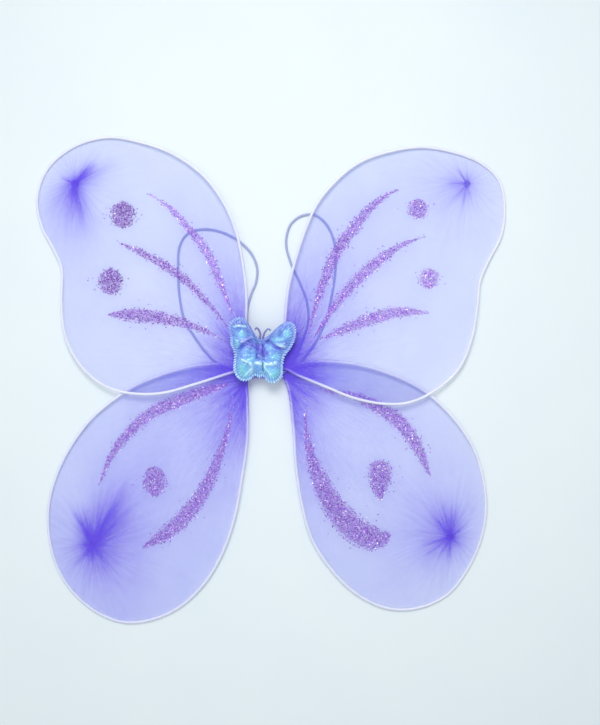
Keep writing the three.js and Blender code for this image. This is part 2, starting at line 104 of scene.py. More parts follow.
# The four lobes. Height, tilt, droop, tie and the wire's points are as in the CAD source. The rest is
# how the cloth and the glitter look. Directions are in degrees, anticlockwise from +X.
# sock is the sleeve's flat width and length, in metres. plain is how much one layer of open net hides,
# and lean makes it denser one way (direction, share each 100 mm). root is the gathers' (strength,
# reach), and tail the slow fade's (strength, more on the side towards edge_at, how wide that side is).
# root_folds and toe folds are (direction, reach, strength) each. toe is the tied end: bunch is its
# knot's cover, core (strength, radius), halo (strength, reach, then (direction, more reach, sharpness)
# each), and arms (direction, reach, width, strength) each. dots are (x, y, width, height, how much
# narrower below, thickness), and streaks (width, where it is widest, taper, thickness, centreline).
LOBES = {
    "upper_left": {
        "height": 12, "tilt": 2, "droop": (-0.72, 0.69), "tie": (-13.8, 4.5),
        "inner": [(-3, 5.4), (-12, 5.4), (-18, 5.4), (-23, 10.5), (-22, 30), (-20, 55)],
        "rim": [(-20, 80), (-24, 113), (-31, 145), (-43, 172), (-64, 200), (-95, 222), (-128, 234),
            (-162, 239), (-195, 230), (-222, 208), (-233, 179), (-229, 150), (-216, 125), (-208, 106),
            (-208, 70), (-205, 42), (-197, 20), (-180, -2), (-159, -16), (-132, -22), (-104, -21),
            (-68, -11), (-40, -2)],
        "outer": [(-31, 0.6), (-24, 2.8), (-18, 3.6), (-12, 3.6), (-3, 3.6)],
        "sock": (0.155, 0.265), "plain": 0.111, "lean": (200, 0.04), "toe_at": (-194.5, 192.5),
        "root": (0.54, 38), "tail": (0.05, 0.56, 32), "edge_at": 97,
        "root_folds": [(176, 50, 0.1), (150, 60, 0.08), (128, 60, 0.1), (104, 70, 0.1)],
        "toe": {
            "bunch": 0.8, "core": (0.14, 6), "halo": (0.54, 7, [(275, 20, 14), (232, 12, 8), (20, 6, 5)]),
            "arms": [(48, 22, 15, 0.26), (160, 11, 20, 0.1), (26, 42, 10, 0.1)],
            "folds": [(50, 22, 0.24), (42, 27, 0.1), (157, 14, 0.16), (262, 22, 0.2), (281, 38, 0.22),
                (272, 26, 0.12), (248, 20, 0.1), (32, 20, 0.12)],
        },
        "dots": [(-146, 160, 22, 27, 0, 1.6), (-158, 92, 22, 27, 0, 1.5)],
        "streaks": [
            (9.5, 0.62, 0.85, 0.75, [(-122, 183), (-99, 168), (-77, 144), (-58, 119), (-48, 95),
                (-33, 58)]),
            (8.5, 0.4, 1.0, 1.2, [(-152, 133), (-124, 120), (-90, 100), (-66, 78), (-48, 58),
                (-36.5, 42.5)]),
            (13, 0.24, 1.1, 1.15, [(-160, 58), (-140, 58.5), (-112, 56), (-88, 51), (-62, 42),
                (-38, 30)]),
        ],
    },
    "upper_right": {
        "height": 12, "tilt": 2, "droop": (0.74, 0.67), "tie": (13.8, 4.5),
        "inner": [(3, 5.4), (12, 5.4), (16, 5.5), (17.7, 10.2), (18.6, 30), (20, 57)],
        "rim": [(22.5, 82), (28, 106), (40, 144), (53, 172), (71, 194), (95, 213), (125, 224), (159, 229),
            (191, 224), (219, 213), (237, 196), (243, 172), (240, 140), (227, 114), (218, 93), (215, 66),
            (209, 33), (195, 2), (168, -21), (144, -31), (119, -32), (89, -26), (59, -14), (37, -5)],
        "outer": [(28, -0.8), (22.5, 2.4), (17.6, 3.6), (12, 3.6), (3, 3.6)],
        "sock": (0.155, 0.265), "plain": 0.106, "lean": (100, 0.04), "toe_at": (205, 192),
        "root": (0.68, 33), "tail": (0.09, 0.54, 38), "edge_at": 80,
        "root_folds": [(4, 50, 0.1), (30, 60, 0.1), (52, 60, 0.08), (72, 70, 0.1), (84, 60, 0.1)],
        "toe": {
            "bunch": 0.22, "core": (0.0, 6), "halo": (0.26, 9, [(212, 16, 2.5)]),
            "arms": [(175, 20, 20, 0.06)],
            "folds": [(122, 17, 0.22), (90, 13, 0.09), (60, 8, 0.09), (178, 18, 0.13), (230, 22, 0.13),
                (259, 25, 0.13), (283, 18, 0.11), (5, 6, 0.14)],
        },
        "dots": [(155, 166, 20.5, 20.5, 0, 0.9), (166, 95, 19.5, 21.5, 0, 0.75)],
        "streaks": [
            (12, 0.42, 1.25, 0.95, [(137, 188), (112, 172), (89, 146), (70, 118), (54, 78), (41, 30)]),
            (11.5, 0.48, 1.1, 0.85, [(163, 139), (131, 125), (104, 104), (82, 82), (63, 57), (46, 30)]),
            (12.5, 0.5, 0.7, 0.8, [(168, 60), (135, 61), (104, 53), (80, 43), (55, 34)]),
        ],
    },
    "lower_left": {
        "height": 7.5, "tilt": 1.2, "droop": (-0.65, -0.76), "tie": (-13.8, -3.5),
        "inner": [(-3, -4.4), (-12, -4.4), (-17.4, -4.8), (-19.5, -10)],
        "rim": [(-19, -24), (-19, -67), (-24.5, -108), (-32, -148), (-44, -183), (-62, -214), (-88, -239),
            (-116, -252), (-143, -255), (-166, -248), (-188, -233), (-207, -210), (-218, -183),
            (-222, -149), (-218, -120), (-204, -85), (-177, -47), (-138, -17), (-109, -4), (-78, 5),
            (-46, 8)],
        "outer": [(-35, 5.4), (-26, 0), (-18, -2.6), (-12, -2.6), (-3, -2.6)],
        "sock": (0.15, 0.25), "plain": 0.138, "lean": (232, 0.24), "toe_at": (-177, -176),
        "root": (0.14, 34), "tail": (0.36, 0.25, 30), "edge_at": 262,
        "root_folds": [(228, 40, 0.34), (240, 46, 0.2), (214, 46, 0.2), (253, 50, 0.22), (263, 60, 0.16),
            (198, 50, 0.14), (184, 50, 0.12), (267, 95, 0.16), (188, 95, 0.12), (180, 100, 0.14),
            (173, 80, 0.1)],
        "toe": {
            "bunch": 0.9, "core": (0.3, 10), "halo": (0.42, 12, [(60, 28, 8), (300, 14, 3), (10, 8, 5)]),
            "arms": [(118, 26, 18, 0.24), (52, 44, 22, 0.12), (80, 34, 14, 0.08)],
            "folds": [(61, 56, 0.26), (55, 52, 0.22), (74, 36, 0.2), (44, 44, 0.22), (33, 34, 0.14),
                (20, 32, 0.12), (119, 34, 0.24), (112, 30, 0.2), (103, 31, 0.2), (94, 27, 0.16),
                (231, 24, 0.16), (306, 24, 0.16), (177, 11, 0.25), (0, 12, 0.25), (270, 14, 0.2)],
        },
        "dots": [(-113, -111, 22, 31, 0, 1.0)],
        "streaks": [
            (12.5, 0.34, 0.55, 0.95, [(-38, -12), (-69, -22), (-93, -31), (-118, -43), (-143, -66),
                (-160, -91), (-170, -115)]),
            (15.5, 0.72, 1.25, 0.95, [(-34, -26), (-38, -56), (-47, -84), (-60, -115), (-76, -139),
                (-97, -161), (-127, -180)]),
        ],
    },
    "lower_right": {
        "height": 7.5, "tilt": 1.2, "droop": (0.68, -0.73), "tie": (13.8, -3.5),
        "inner": [(3, -4.4), (12, -4.4), (17.6, -4.8), (21, -10)],
        "rim": [(24, -20), (28, -55), (31, -98), (37, -136), (47, -170), (66, -200), (90, -224),
            (118, -239), (142, -242), (166, -237), (188, -224), (207, -198), (219, -170), (224, -141),
            (221, -108), (211, -77), (190, -46), (166, -23), (145, -10), (118, 1), (87, 8.5), (47, 10.5)],
        "outer": [(34, 7.6), (25.5, 4.2), (19.3, 1), (15.8, -2.1), (12, -2.6), (3, -2.6)],
        "sock": (0.15, 0.25), "plain": 0.126, "lean": (225, 0.1), "toe_at": (188, -168),
        "root": (0.26, 36), "tail": (0.26, 0.34, 18), "edge_at": -78,
        "root_folds": [(-16, 16, 0.5), (-34, 40, 0.22), (-58, 40, 0.18), (-72, 50, 0.24), (-84, 60, 0.2),
            (-4, 50, 0.14)],
        "toe": {
            "bunch": 0.85, "core": (0.16, 8), "halo": (0.38, 14, [(112, 17, 4), (205, 15, 4)]),
            "arms": [(92, 24, 34, 0.1)],
            "folds": [(128, 25, 0.3), (140, 19, 0.16), (104, 29, 0.18), (88, 25, 0.16), (77, 25, 0.16),
                (40, 16, 0.16), (198, 22, 0.24), (216, 25, 0.18), (241, 21, 0.15), (266, 22, 0.22),
                (316, 12, 0.16), (115, 20, 0.14)],
        },
        "dots": [(116, -110, 23, 42, 1, 1.0)],
        "streaks": [
            (14, 0.62, 1.0, 0.9, [(52, -17), (92, -25), (118, -38), (138, -53), (154, -76), (168, -108)]),
            (25, 0.84, 1.5, 1.0, [(40, -22), (41, -55), (46, -86), (57, -114), (72, -141), (90, -160),
                (112, -170), (127, -165)]),
        ],
    },
}

# The butterfly ornament's outline, anticlockwise from its right wing's lower edge
BUTTERFLY_OUTLINE = [
    (17.5, 7), (19.3, 16), (25, 23.5), (29.5, 33), (30.5, 43), (27.5, 49.3), (21, 50.6), (14, 47),
    (5.3, 39), (-1.8, 34.6), (-7.7, 35.2), (-11.5, 40), (-17, 49), (-21.5, 54.3), (-27.5, 55.3),
    (-34, 52), (-37, 46), (-35.5, 36), (-35, 28), (-31.3, 19), (-32, 10), (-32, 2), (-27.5, -6.5),
    (-20.7, -9), (-14.5, -7), (-10.5, -3.6), (-6.5, -5.6), (-2.4, -4.2), (1, -9), (6.5, -11),
    (13, -8.6), (17, -3),
]
# The film's colours, linear. Its pale colour is a painted highlight on raised lines, crumples, folds,
# lace ribs and glints, and its dark colour is painted shade in sunken creases. It shows them in patches,
# (x, y, half width, half height, turn in degrees, colour, strength), and along embossed lines,
# (lift, width, colour, strength, points).
FILM = {
    "violet": (0.105, 0.070, 0.62),
    "blue": (0.115, 0.215, 0.76),
    "sky": (0.19, 0.46, 0.96),
    "cyan": (0.28, 0.72, 0.95),
    "teal": (0.15, 0.54, 0.64),
    "painted_highlight": (0.62, 0.93, 1.0),
    "lavender": (0.43, 0.40, 0.97),
    "painted_shade": (0.05, 0.13, 0.33),
}
# The pale patch is a painted highlight; the other patches are the film's own colours.
FILM_PATCHES = [
    (-27.5, 49.5, 8.5, 3.4, -6, "violet", 1.0),
    (-3, 32.5, 10, 3.6, 0, "violet", 0.75),
    (-24, 38.5, 5, 4.5, 20, "cyan", 0.85),
    (-31, 33.5, 3, 4, 0, "blue", 0.7),
    (-29, 28.5, 2.6, 4.5, 0, "teal", 0.8),
    (-18, 39, 2.6, 5, 30, "violet", 0.6),
    (13, 38.5, 11, 2.4, 40, "violet", 0.8),
    (21.5, 38.5, 4.5, 4.5, 0, "cyan", 0.9),
    (12, 32.5, 7, 3.4, 5, "cyan", 0.75),
    (15.5, 26.5, 5.5, 1.8, -12, "painted_highlight", 0.8),
    (-15, 27, 11, 4.4, 28, "violet", 0.85),
    (-19.5, 20.5, 7, 5, 0, "sky", 0.6),
    (-24.5, 17, 2, 2.6, 0, "blue", 0.6),
    (-23.5, 3.5, 4.5, 7, -10, "teal", 0.9),
    (-14.5, 13, 5, 4.5, 0, "cyan", 0.45),
    (-5, 25, 5, 11, 0, "violet", 1.0),
    (4, 24.5, 4, 4.5, 0, "sky", 0.85),
    (0.5, 18, 4.5, 4, 0, "violet", 0.65),
    (9.5, 15.5, 6, 3.5, 0, "cyan", 0.8),
    (10.5, 4.8, 6, 3.4, 0, "blue", 0.45),
    (12, -2, 6, 5, 0, "teal", 0.8),
    (-8.5, 2.5, 4.5, 4, 0, "blue", 0.55),
    (1, 0, 2, 4, 0, "teal", 0.6),
]
# The raised lines in the pale colour are painted highlights along their ridges. The sunken lines are laid
# in violet, blue and teal, partly the film's own colour and partly painted shade in their grooves, and the
# dark ones are painted shade.
FILM_LINES = [
    (0.5, 1.1, "painted_highlight", 0.9, [(-31, 46), (-26, 46.6), (-20, 45.7)]),
    (-0.6, 0.8, "blue", 0.8, [(-28, 44.6), (-26, 40), (-24.5, 43.6)]),
    (0.2, 1.3, "lavender", 0.9, [(-17.5, 46.5), (-13, 40.5), (-9, 36.6)]),
    (0.2, 1.3, "lavender", 0.9, [(14, 44.6), (9, 40.4), (3.6, 36.4)]),
    (-0.4, 1.0, "violet", 0.7, [(-19, 43.5), (-15.5, 38.5), (-13.5, 34.5)]),
    (0.6, 1.0, "lavender", 0.9, [(-25, 29.6), (-21, 31.5), (-17.7, 33.6), (-13.5, 35.6)]),
    (-2.2, 1.3, "violet", 0.9, [(-27.5, 22), (-20.6, 28.4), (-13.8, 31.7), (-8, 33)]),
    (-2.2, 1.3, "violet", 0.9, [(1, 32), (4, 30), (9.7, 25.5), (16, 23), (19, 21.5)]),
    (-1.3, 0.8, "violet", 1.0, [(-8.2, 32), (-8.4, 22), (-8.8, 14)]),
    (-1.3, 0.8, "violet", 1.0, [(-2.6, 31), (-2.3, 21), (-2.0, 12.5)]),
    (-0.5, 0.6, "violet", 0.7, [(-7.5, 22.6), (-3, 22.6)]),
    (0.6, 1.2, "painted_highlight", 0.95, [(-24, 12.2), (-19.5, 10.4), (-14.5, 7.4)]),
    (0.5, 1.1, "painted_highlight", 0.8, [(-14.5, 8.4), (-13.6, 3), (-14.2, -2)]),
    (0.5, 0.9, "painted_highlight", 0.85, [(-15, 2), (-17.5, -0.5), (-20, -3)]),
    (0.7, 1.5, "painted_highlight", 1.0, [(-9.5, 8.9), (-4.5, 8.4), (0, 7.8), (5, 7.6), (10.4, 9)]),
    (0.6, 1.0, "painted_highlight", 0.9, [(-1.3, 5.7), (1.5, 1.5), (5, -3)]),
    (-1.4, 0.7, "painted_shade", 0.8, [(-2.8, 9), (-2.7, 4), (-2.6, 0.4)]),
    (-0.8, 0.7, "painted_shade", 0.45, [(-22, 9.6), (-18, 8), (-15.4, 4.6)]),
    (-0.6, 0.7, "blue", 0.7, [(5.5, 30.6), (13, 29.8), (19, 29.6)]),
    (-0.6, 0.8, "teal", 0.6, [(18, 17), (15.5, 13), (16.4, 9.5)]),
]
ANTENNAE = {
    "left": [(-6.1, 33.6, 18.9), (-5.2, 38, 19), (-7.0, 42.8, 19.4), (-9.1, 44.5, 19.8),
             (-10.6, 42.8, 20)],
    "right": [(-2.6, 33.6, 18.9), (-1.5, 38.2, 19), (0.7, 41.9, 19.4), (3.3, 43.5, 19.8),
              (5.1, 41.5, 20)],
}

# ------------------------------------------------ camera, floor and light

def add_object(name, data):
    made = bpy.data.objects.new(name, data)
    bpy.context.scene.collection.objects.link(made)
    return made


def make_camera():
    data = bpy.data.cameras.new("camera")
    data.sensor_width = SENSOR
    data.lens = SENSOR * CAMERA_HEIGHT / VIEW_HEIGHT
    camera = add_object("camera", data)
    camera.location = (CAMERA_OVER[0] * MM, CAMERA_OVER[1] * MM, CAMERA_HEIGHT * MM)
    bpy.context.scene.camera = camera


def area_light(name, place, aim, size, power, colour, spread):
    data = bpy.data.lights.new(name, "AREA")
    data.shape = "DISK"
    data.size = size
    data.energy = power
    data.color = colour
    data.spread = math.radians(spread)
    light = add_object(name, data)
    light.location = place
    light.rotation_mode = "QUATERNION"
    light.rotation_quaternion = (Vector(aim) - Vector(place)).to_track_quat("-Z", "Y")


def make_studio():
    scene = bpy.context.scene
    scene.view_settings.view_transform = "Standard"
    scene.view_settings.look = "None"
    world = bpy.data.worlds.new("studio")
    world.use_nodes = True
    sky = world.node_tree.nodes["Background"].inputs
    sky["Color"].default_value = (0.87, 0.95, 1.0, 1)
    sky["Strength"].default_value = 0.60
    scene.world = world
    area_light("key", (-0.05, 0.85, 1.45), (0.05, 0.07, 0), 0.8, 1.88, (1.0, 0.99, 0.98), 66)
    area_light("fill", (-0.8, -0.2, 2.0), (0, 0, 0), 1.6, 6, (0.98, 0.985, 0.98), 180)


def make_floor():
    half, z = 4.0, -0.0002
    mesh = bpy.data.meshes.new("floor")
    corners = [(-half, -half, z), (half, -half, z), (half, half, z), (-half, half, z)]
    mesh.from_pydata(corners, [], [(0, 1, 2, 3)])
    floor = add_object("floor", mesh)
    paint = Paint("floor", (0.85, 0.91, 0.93), 0.7)
    mottle = paint.noise(9, 3, vector=paint.node("ShaderNodeTexCoord").outputs["Object"])
    paint.colour_by(mottle, (0.3, (0.84, 0.905, 0.925)), (0.7, (0.87, 0.925, 0.94)))
    mesh.materials.append(paint.material)


# ------------------------------------------------ shaders

class Paint:
    """A Principled material, and short ways to add procedural detail to it."""

    def __init__(self, name, colour, roughness, **sockets):
        self.material = bpy.data.materials.new(name)
        self.material.use_nodes = True
        self.tree = self.material.node_tree
        self.shader = self.tree.nodes["Principled BSDF"]
        self.to(colour, "Base Color")
        self.to(roughness, "Roughness")
        for socket, value in sockets.items():
            self.to(value, socket.replace("_", " "))
        self.relief = None

    def feed(self, socket, value):
        """A socket takes a number, a tuple or another node's output; None leaves it alone."""
        if isinstance(value, tuple):
            socket.default_value = (*value, 1) if socket.type == "RGBA" else value
        elif isinstance(value, (int, float)):
            socket.default_value = value
        elif value is not None:
            self.tree.links.new(value, socket)

    def to(self, value, socket):
        self.feed(self.shader.inputs[socket], value)

    def node(self, kind, inputs=None, **settings):
        made = self.tree.nodes.new(kind)
        for key, value in settings.items():
            setattr(made, key, value)
        for socket, value in (inputs or {}).items():
            self.feed(made.inputs[socket], value)
        return made

    def attribute(self, name, output="Vector"):
        return self.node("ShaderNodeAttribute", attribute_name=name).outputs[output]

    def math(self, operation, first, second):
        return self.node("ShaderNodeMath", {0: first, 1: second}, operation=operation).outputs[0]

    def plus(self, first, second):
        return self.math("ADD", first, second)

    def times(self, first, second):
        return self.math("MULTIPLY", first, second)

    def about_zero(self, pattern, size):
        """A pattern from 0 to 1 moved to run from minus to plus half of size."""
        return self.times(self.math("SUBTRACT", pattern, 0.5), size)

    def vector(self, operation, first, second=None):
        return self.node("ShaderNodeVectorMath", {0: first, 1: second}, operation=operation).outputs

    def noise(self, scale, detail=2, roughness=0.5, vector=None, stretch=None):
        """Noise from 0 to 1, at each point's place at rest unless it is given another vector."""
        vector = vector or self.attribute("rest_place")
        if stretch:
            vector = self.node("ShaderNodeMapping", {"Vector": vector, "Scale": stretch}).outputs[0]
        inputs = {"Vector": vector, "Scale": scale, "Detail": detail, "Roughness": roughness}
        return self.node("ShaderNodeTexNoise", inputs).outputs["Fac"]

    def ramp(self, source, low, high):
        """Smoothly from low's second number where source is low's first, to high's."""
        (start, first), (stop, last) = low, high
        inputs = {"Value": source, "From Min": start, "From Max": stop, "To Min": first, "To Max": last}
        return self.node("ShaderNodeMapRange", inputs, interpolation_type="SMOOTHSTEP").outputs[0]

    def mix_colour(self, factor, first, second):
        return self.node("ShaderNodeMix", {0: factor, 6: first, 7: second}, data_type="RGBA").outputs[2]

    def colour_by(self, source, *stops):
        """The base colour runs through the stops' colours as source grows."""
        made = self.node("ShaderNodeValToRGB", {"Fac": source})
        elements = made.color_ramp.elements
        while len(elements) < len(stops):
            elements.new(0.5)
        for element, (at, colour) in zip(elements, stops):
            element.position = at
            element.color = (*colour, 1)
        self.to(made.outputs["Color"], "Base Color")

    def bump(self, source, depth):
        """Adds a bump of that depth in metres on top of the ones before it."""
        inputs = {"Height": source, "Distance": depth, "Normal": self.relief}
        self.relief = self.node("ShaderNodeBump", inputs).outputs["Normal"]
        self.to(self.relief, "Normal")


def mottled(name, colour, roughness, grain, low, high, depth, stretch=None, shine=None, **sockets):
    """A material whose colour, from low to high, its relief and its shine all follow one noise."""
    paint = Paint(name, colour, roughness, **sockets)
    pattern = paint.noise(*grain, stretch=stretch)
    paint.colour_by(pattern, (0.3, low), (0.7, high))
    if shine:
        paint.to(paint.ramp(pattern, (0.3, shine[0]), (0.7, shine[1])), "Roughness")
    paint.bump(pattern, depth)
    return paint


def nylon_paint(name, lobe):
    """Fine stretch net: the thread's own violet, seen through more or less of it."""
    paint = Paint(f"nylon_{name}", (0.155, 0.11, 0.94), 0.7, Sheen_Weight=0.08, Sheen_Roughness=0.4,
                  Specular_IOR_Level=0.2)
    place = paint.attribute("rest_place")

    def spokes(centre, scale, reach, power):
        """Streaks that run out from a centre and fade with distance."""
        away = paint.vector("SUBTRACT", place, (centre[0] * MM, centre[1] * MM, 0))[0]
        along = paint.node("ShaderNodeVectorMath", {0: away, "Scale": 3.0}, operation="SCALE").outputs[0]
        spread = paint.vector("ADD", paint.vector("NORMALIZE", away)[0], along)[0]
        streak = paint.noise(scale, 4, 0.6, spread)
        distance = paint.vector("LENGTH", away)[1]
        fade = paint.math("POWER", 2.718, paint.math("DIVIDE", distance, -reach * MM))
        return paint.times(paint.about_zero(streak, power), fade)

    root = spokes(lobe["tie"], 26.0, 80, 1.7)
    toe = spokes(lobe["toe_at"], 13.0, 34, 2.0)
    cloudy = paint.about_zero(paint.noise(26, 3, 0.55), 0.16)
    knit = paint.about_zero(paint.noise(1700, 1), 0.5)
    shade = paint.plus(paint.plus(root, toe), paint.plus(cloudy, knit))
    alpha = paint.times(paint.attribute("cover", "Fac"), paint.plus(1.0, shade))
    limits = {"Value": alpha, "Min": 0.03, "Max": 0.97}
    paint.to(paint.node("ShaderNodeClamp", limits).outputs[0], "Alpha")
    deep = paint.ramp(alpha, (0.11, 0.0), (0.36, 1.0))
    paint.to(paint.mix_colour(deep, (0.19, 0.20, 0.87), (0.142, 0.078, 0.79)), "Base Color")
    paint.bump(paint.noise(60), 0.0003)
    return paint


def sheath_paint():
    """White plastic over the wire, a little uneven in tone."""
    paint = Paint("wire_sheath", (0.93, 0.93, 0.98), 0.32, Coat_Weight=0.2, Coat_Roughness=0.25)
    paint.colour_by(paint.noise(120, 3), (0.3, (0.90, 0.90, 0.97)), (0.7, (0.96, 0.96, 0.99)))
    paint.bump(paint.noise(700), 0.00005)
    return paint


def elastic_paint():
    """Braided strands, lighter where they cross on top, with a little fuzz."""
    paint = Paint("elastic", (0.23, 0.25, 0.45), 0.75, Sheen_Weight=0.35, Sheen_Roughness=0.5)
    fuzz = paint.noise(2600, 2, 0.6)
    tone = paint.plus(paint.times(paint.attribute("strand", "Fac"), 0.7), paint.times(fuzz, 0.3))
    paint.colour_by(tone, (0.15, (0.23, 0.26, 0.47)), (0.55, (0.37, 0.41, 0.66)),
                    (0.9, (0.50, 0.54, 0.80)))
    paint.bump(fuzz, 0.00012)
    return paint


def flake_paint():
    """Shiny film flakes, each in its own tint; the near-white ones are painted glints."""
    paint = Paint("glitter_flakes", (0.36, 0.15, 0.55), 0.3, Metallic=0.2,
                  Coat_Weight=0.3, Coat_Roughness=0.2)
    paint.to(paint.attribute("tint", "Color"), "Base Color")
    paint.to(paint.ramp(paint.noise(3000, 1), (0.3, 0.2), (0.7, 0.45)), "Roughness")
    return paint


def glue_film_paint():
    """The glue that the flakes lie in: a tinted bed, thinner and broken up towards its edge."""
    paint = Paint("glitter_glue", (0.30, 0.12, 0.52), 0.45, Coat_Weight=0.1)
    blotch = paint.noise(700, 3, 0.65)
    solid = paint.plus(paint.attribute("edge", "Fac"), paint.about_zero(blotch, 0.9))
    paint.to(paint.times(paint.ramp(solid, (0.05, 0.0), (0.7, 1.0)), 0.46), "Alpha")
    paint.colour_by(paint.noise(900, 2, 0.6), (0.35, (0.19, 0.06, 0.50)), (0.65, (0.36, 0.15, 0.68)))
    paint.bump(blotch, 0.0003)
    return paint


def film_paint():
    """Iridescent film, its colour in the tint attribute, mottled a little, with pale painted glints where a
    fine noise is high, and crinkled.
    """
    paint = Paint("ornament_film", (0.2, 0.35, 0.8), 0.28, Metallic=0.15,
                  Coat_Weight=0.5, Coat_Roughness=0.15)
    shift = paint.ramp(paint.noise(110, 3, 0.6), (0.45, 0.0), (0.8, 0.35))
    varied = paint.mix_colour(shift, paint.attribute("tint", "Color"), FILM["cyan"])
    fine = paint.noise(480, 3, 0.6)
    # Painted glints: the pale highlight colour mixed in where the fine noise is high.
    shine = paint.ramp(fine, (0.58, 0.0), (0.8, 0.3))
    paint.to(paint.mix_colour(shine, varied, FILM["painted_highlight"]), "Base Color")
    paint.to(paint.ramp(fine, (0.3, 0.2), (0.75, 0.42)), "Roughness")
    paint.bump(paint.noise(240, 3, 0.55), 0.0006)
    paint.bump(paint.noise(1100), 0.0001)
    return paint


def felt_paint():
    """Short fibres, mostly lying one way."""
    return mottled("felt", (0.16, 0.10, 0.52), 0.95, (1400, 4, 0.7), (0.26, 0.18, 0.80), (0.40, 0.32, 0.92),
                   0.0005, stretch=(1, 0.35, 1), Sheen_Weight=0.5, Sheen_Roughness=0.6)


def tape_paint():
    """Thin tape, wrinkled across its run."""
    return mottled("wrap_tape", (0.26, 0.22, 0.72), 0.5, (420, 3, 0.6), (0.21, 0.17, 0.62),
                   (0.34, 0.30, 0.82), 0.0003, stretch=(3, 1, 1), Coat_Weight=0.2)


def glue_paint():
    """Set hot glue: cloudy, lumpy and shiny."""
    return mottled("hot_glue", (0.80, 0.78, 0.84), 0.18, (180,), (0.74, 0.72, 0.80), (0.86, 0.85, 0.90),
                   0.0006, shine=(0.12, 0.3), Transmission_Weight=0.3, Coat_Weight=0.3)


def thread_paint():
    """Sewing thread, its twist just visible."""
    return mottled("thread", (0.18, 0.10, 0.60), 0.6, (2200,), (0.11, 0.06, 0.42), (0.26, 0.17, 0.72),
                   0.0001, Sheen_Weight=0.4)


# ------------------------------------------------ curves and meshes

def smooth_line(points, closed=False, per_segment=30):
    """A centripetal Catmull-Rom curve through the points, as the CAD source draws it."""
    points = [np.array(p, float) for p in points]
    count = len(points)
    line = []
    for i in range(count if closed else count - 1):
        if closed:
            p0, p1, p2, p3 = (points[(i + k) % count] for k in (-1, 0, 1, 2))
        else:
            p1, p2 = points[i], points[i + 1]
            p0 = points[i - 1] if i else 2 * points[0] - points[1]
            p3 = points[i + 2] if i + 2 < count else 2 * points[-1] - points[-2]
        d0, d1, d2 = (np.sum((b - a) ** 2) ** 0.25 for a, b in ((p0, p1), (p1, p2), (p2, p3)))
        m1 = ((p1 - p0) / d0 - (p2 - p0) / (d0 + d1) + (p2 - p1) / d1) * d1
        m2 = ((p2 - p1) / d1 - (p3 - p1) / (d1 + d2) + (p3 - p2) / d2) * d1
        for t in np.linspace(0, 1, per_segment, endpoint=False):
            line.append(p1 + t * m1 + t * t * (3 * (p2 - p1) - 2 * m1 - m2)
                        + t ** 3 * (2 * (p1 - p2) + m1 + m2))
    line.append(points[0] if closed else points[-1])
    return np.array(line)


def lengths_along(line):
    return np.concatenate([[0], np.cumsum(np.linalg.norm(np.diff(line, axis=0), axis=1))])


def at_lengths(line, wanted):
    along = lengths_along(line)
    return np.stack([np.interp(wanted, along, line[:, k]) for k in range(line.shape[1])], axis=1)


def evenly(line, step):
    total = lengths_along(line)[-1]
    return at_lengths(line, np.linspace(0, total, max(2, round(total / step) + 1)))


def nearest_length(line, point):
    gaps = np.linalg.norm(line - np.array(point, float), axis=1)
    return lengths_along(line)[gaps.argmin()]


def directions(line):
    """The unit direction of a line at each of its points."""
    ahead = np.gradient(line, axis=0)
    return ahead / np.linalg.norm(ahead, axis=1)[:, None]


def full_turn(count):
    return np.arange(count) * 2 * math.pi / count


def polar(points, centre):
    """Each point's distance from a centre, and its direction."""
    away = points - centre
    return np.linalg.norm(away, axis=1), np.arctan2(away[:, 1], away[:, 0])


def turned_from(angle, degrees):
    """How far each angle is from a direction, in radians from 0 to pi."""
    off = angle - math.radians(degrees)
    return np.abs((off + math.pi) % (2 * math.pi) - math.pi)


def bell(x):
    return np.exp(-(x**2))


def distance_to(points, line):
    """How far each point is from a line, in the plane, to about a tenth of a millimetre."""
    dense = evenly(line[:, :2], 0.25).tolist()
    tree = kdtree.KDTree(len(dense))
    for i, (x, y) in enumerate(dense):
        tree.insert((x, y, 0), i)
    tree.balance()
    return np.array([tree.find((x, y, 0))[2] for x, y in np.asarray(points)[:, :2].tolist()])


def inside(points, outline):
    """Which points lie inside a closed outline."""
    x, y = points[:, 0], points[:, 1]
    within = np.zeros(len(points), bool)
    for (ax, ay), (bx, by) in zip(outline, np.roll(outline, -1, axis=0)):
        if ay != by:
            crossing = ax + (y - ay) * (bx - ax) / (by - ay)
            within ^= ((ay > y) != (by > y)) & (x < crossing)
    return within


def smooth_noise(points, scale, seed=0.0):
    """Noise from -1 to 1 at plane points in millimetres; scale is the size of its lumps."""
    return np.array([noise.noise(Vector((x / scale, y / scale, seed))) for x, y in points[:, :2]])


def flattened(local):
    """Points of a lobe as the shaders see them: in its plane, in metres."""
    return np.column_stack([local[:, :2], np.zeros(len(local))]) * MM


def make_piece(name, vertices, faces, paints, attributes=None, face_paints=None, smooth=True):
    """A mesh object from points in millimetres. rest_place keeps each point's place for the shaders."""
    mesh = bpy.data.meshes.new(name)
    vertices = np.asarray(vertices, float) * MM
    mesh.from_pydata(vertices.tolist(), [], faces)
    kinds = {1: ("FLOAT", "value"), 3: ("FLOAT_VECTOR", "vector"), 4: ("FLOAT_COLOR", "color")}
    for key, values in {"rest_place": vertices, **(attributes or {})}.items():
        values = np.asarray(values, float)
        kind, field = kinds[values.size // len(values)]
        mesh.attributes.new(key, kind, "POINT").data.foreach_set(field, values.ravel())
    for paint in paints:
        mesh.materials.append(paint.material)
    if face_paints:
        mesh.polygons.foreach_set("material_index", face_paints)
    mesh.polygons.foreach_set("use_smooth", [smooth] * len(mesh.polygons))
    mesh.update()
    return add_object(name, mesh)


def hand_over(piece, nodes, body="hub"):
    """The CAD nodes that a piece stands for, which are hidden, and the body that carries it."""
    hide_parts(*nodes)
    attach(piece, body)
    return piece


def grid_faces(rows, columns, wrap=False):
    faces = []
    for i in range(rows - 1):
        for j in range(columns if wrap else columns - 1):
            a, b = i * columns + j, i * columns + (j + 1) % columns
            faces.append((a, b, b + columns, a + columns))
    return faces


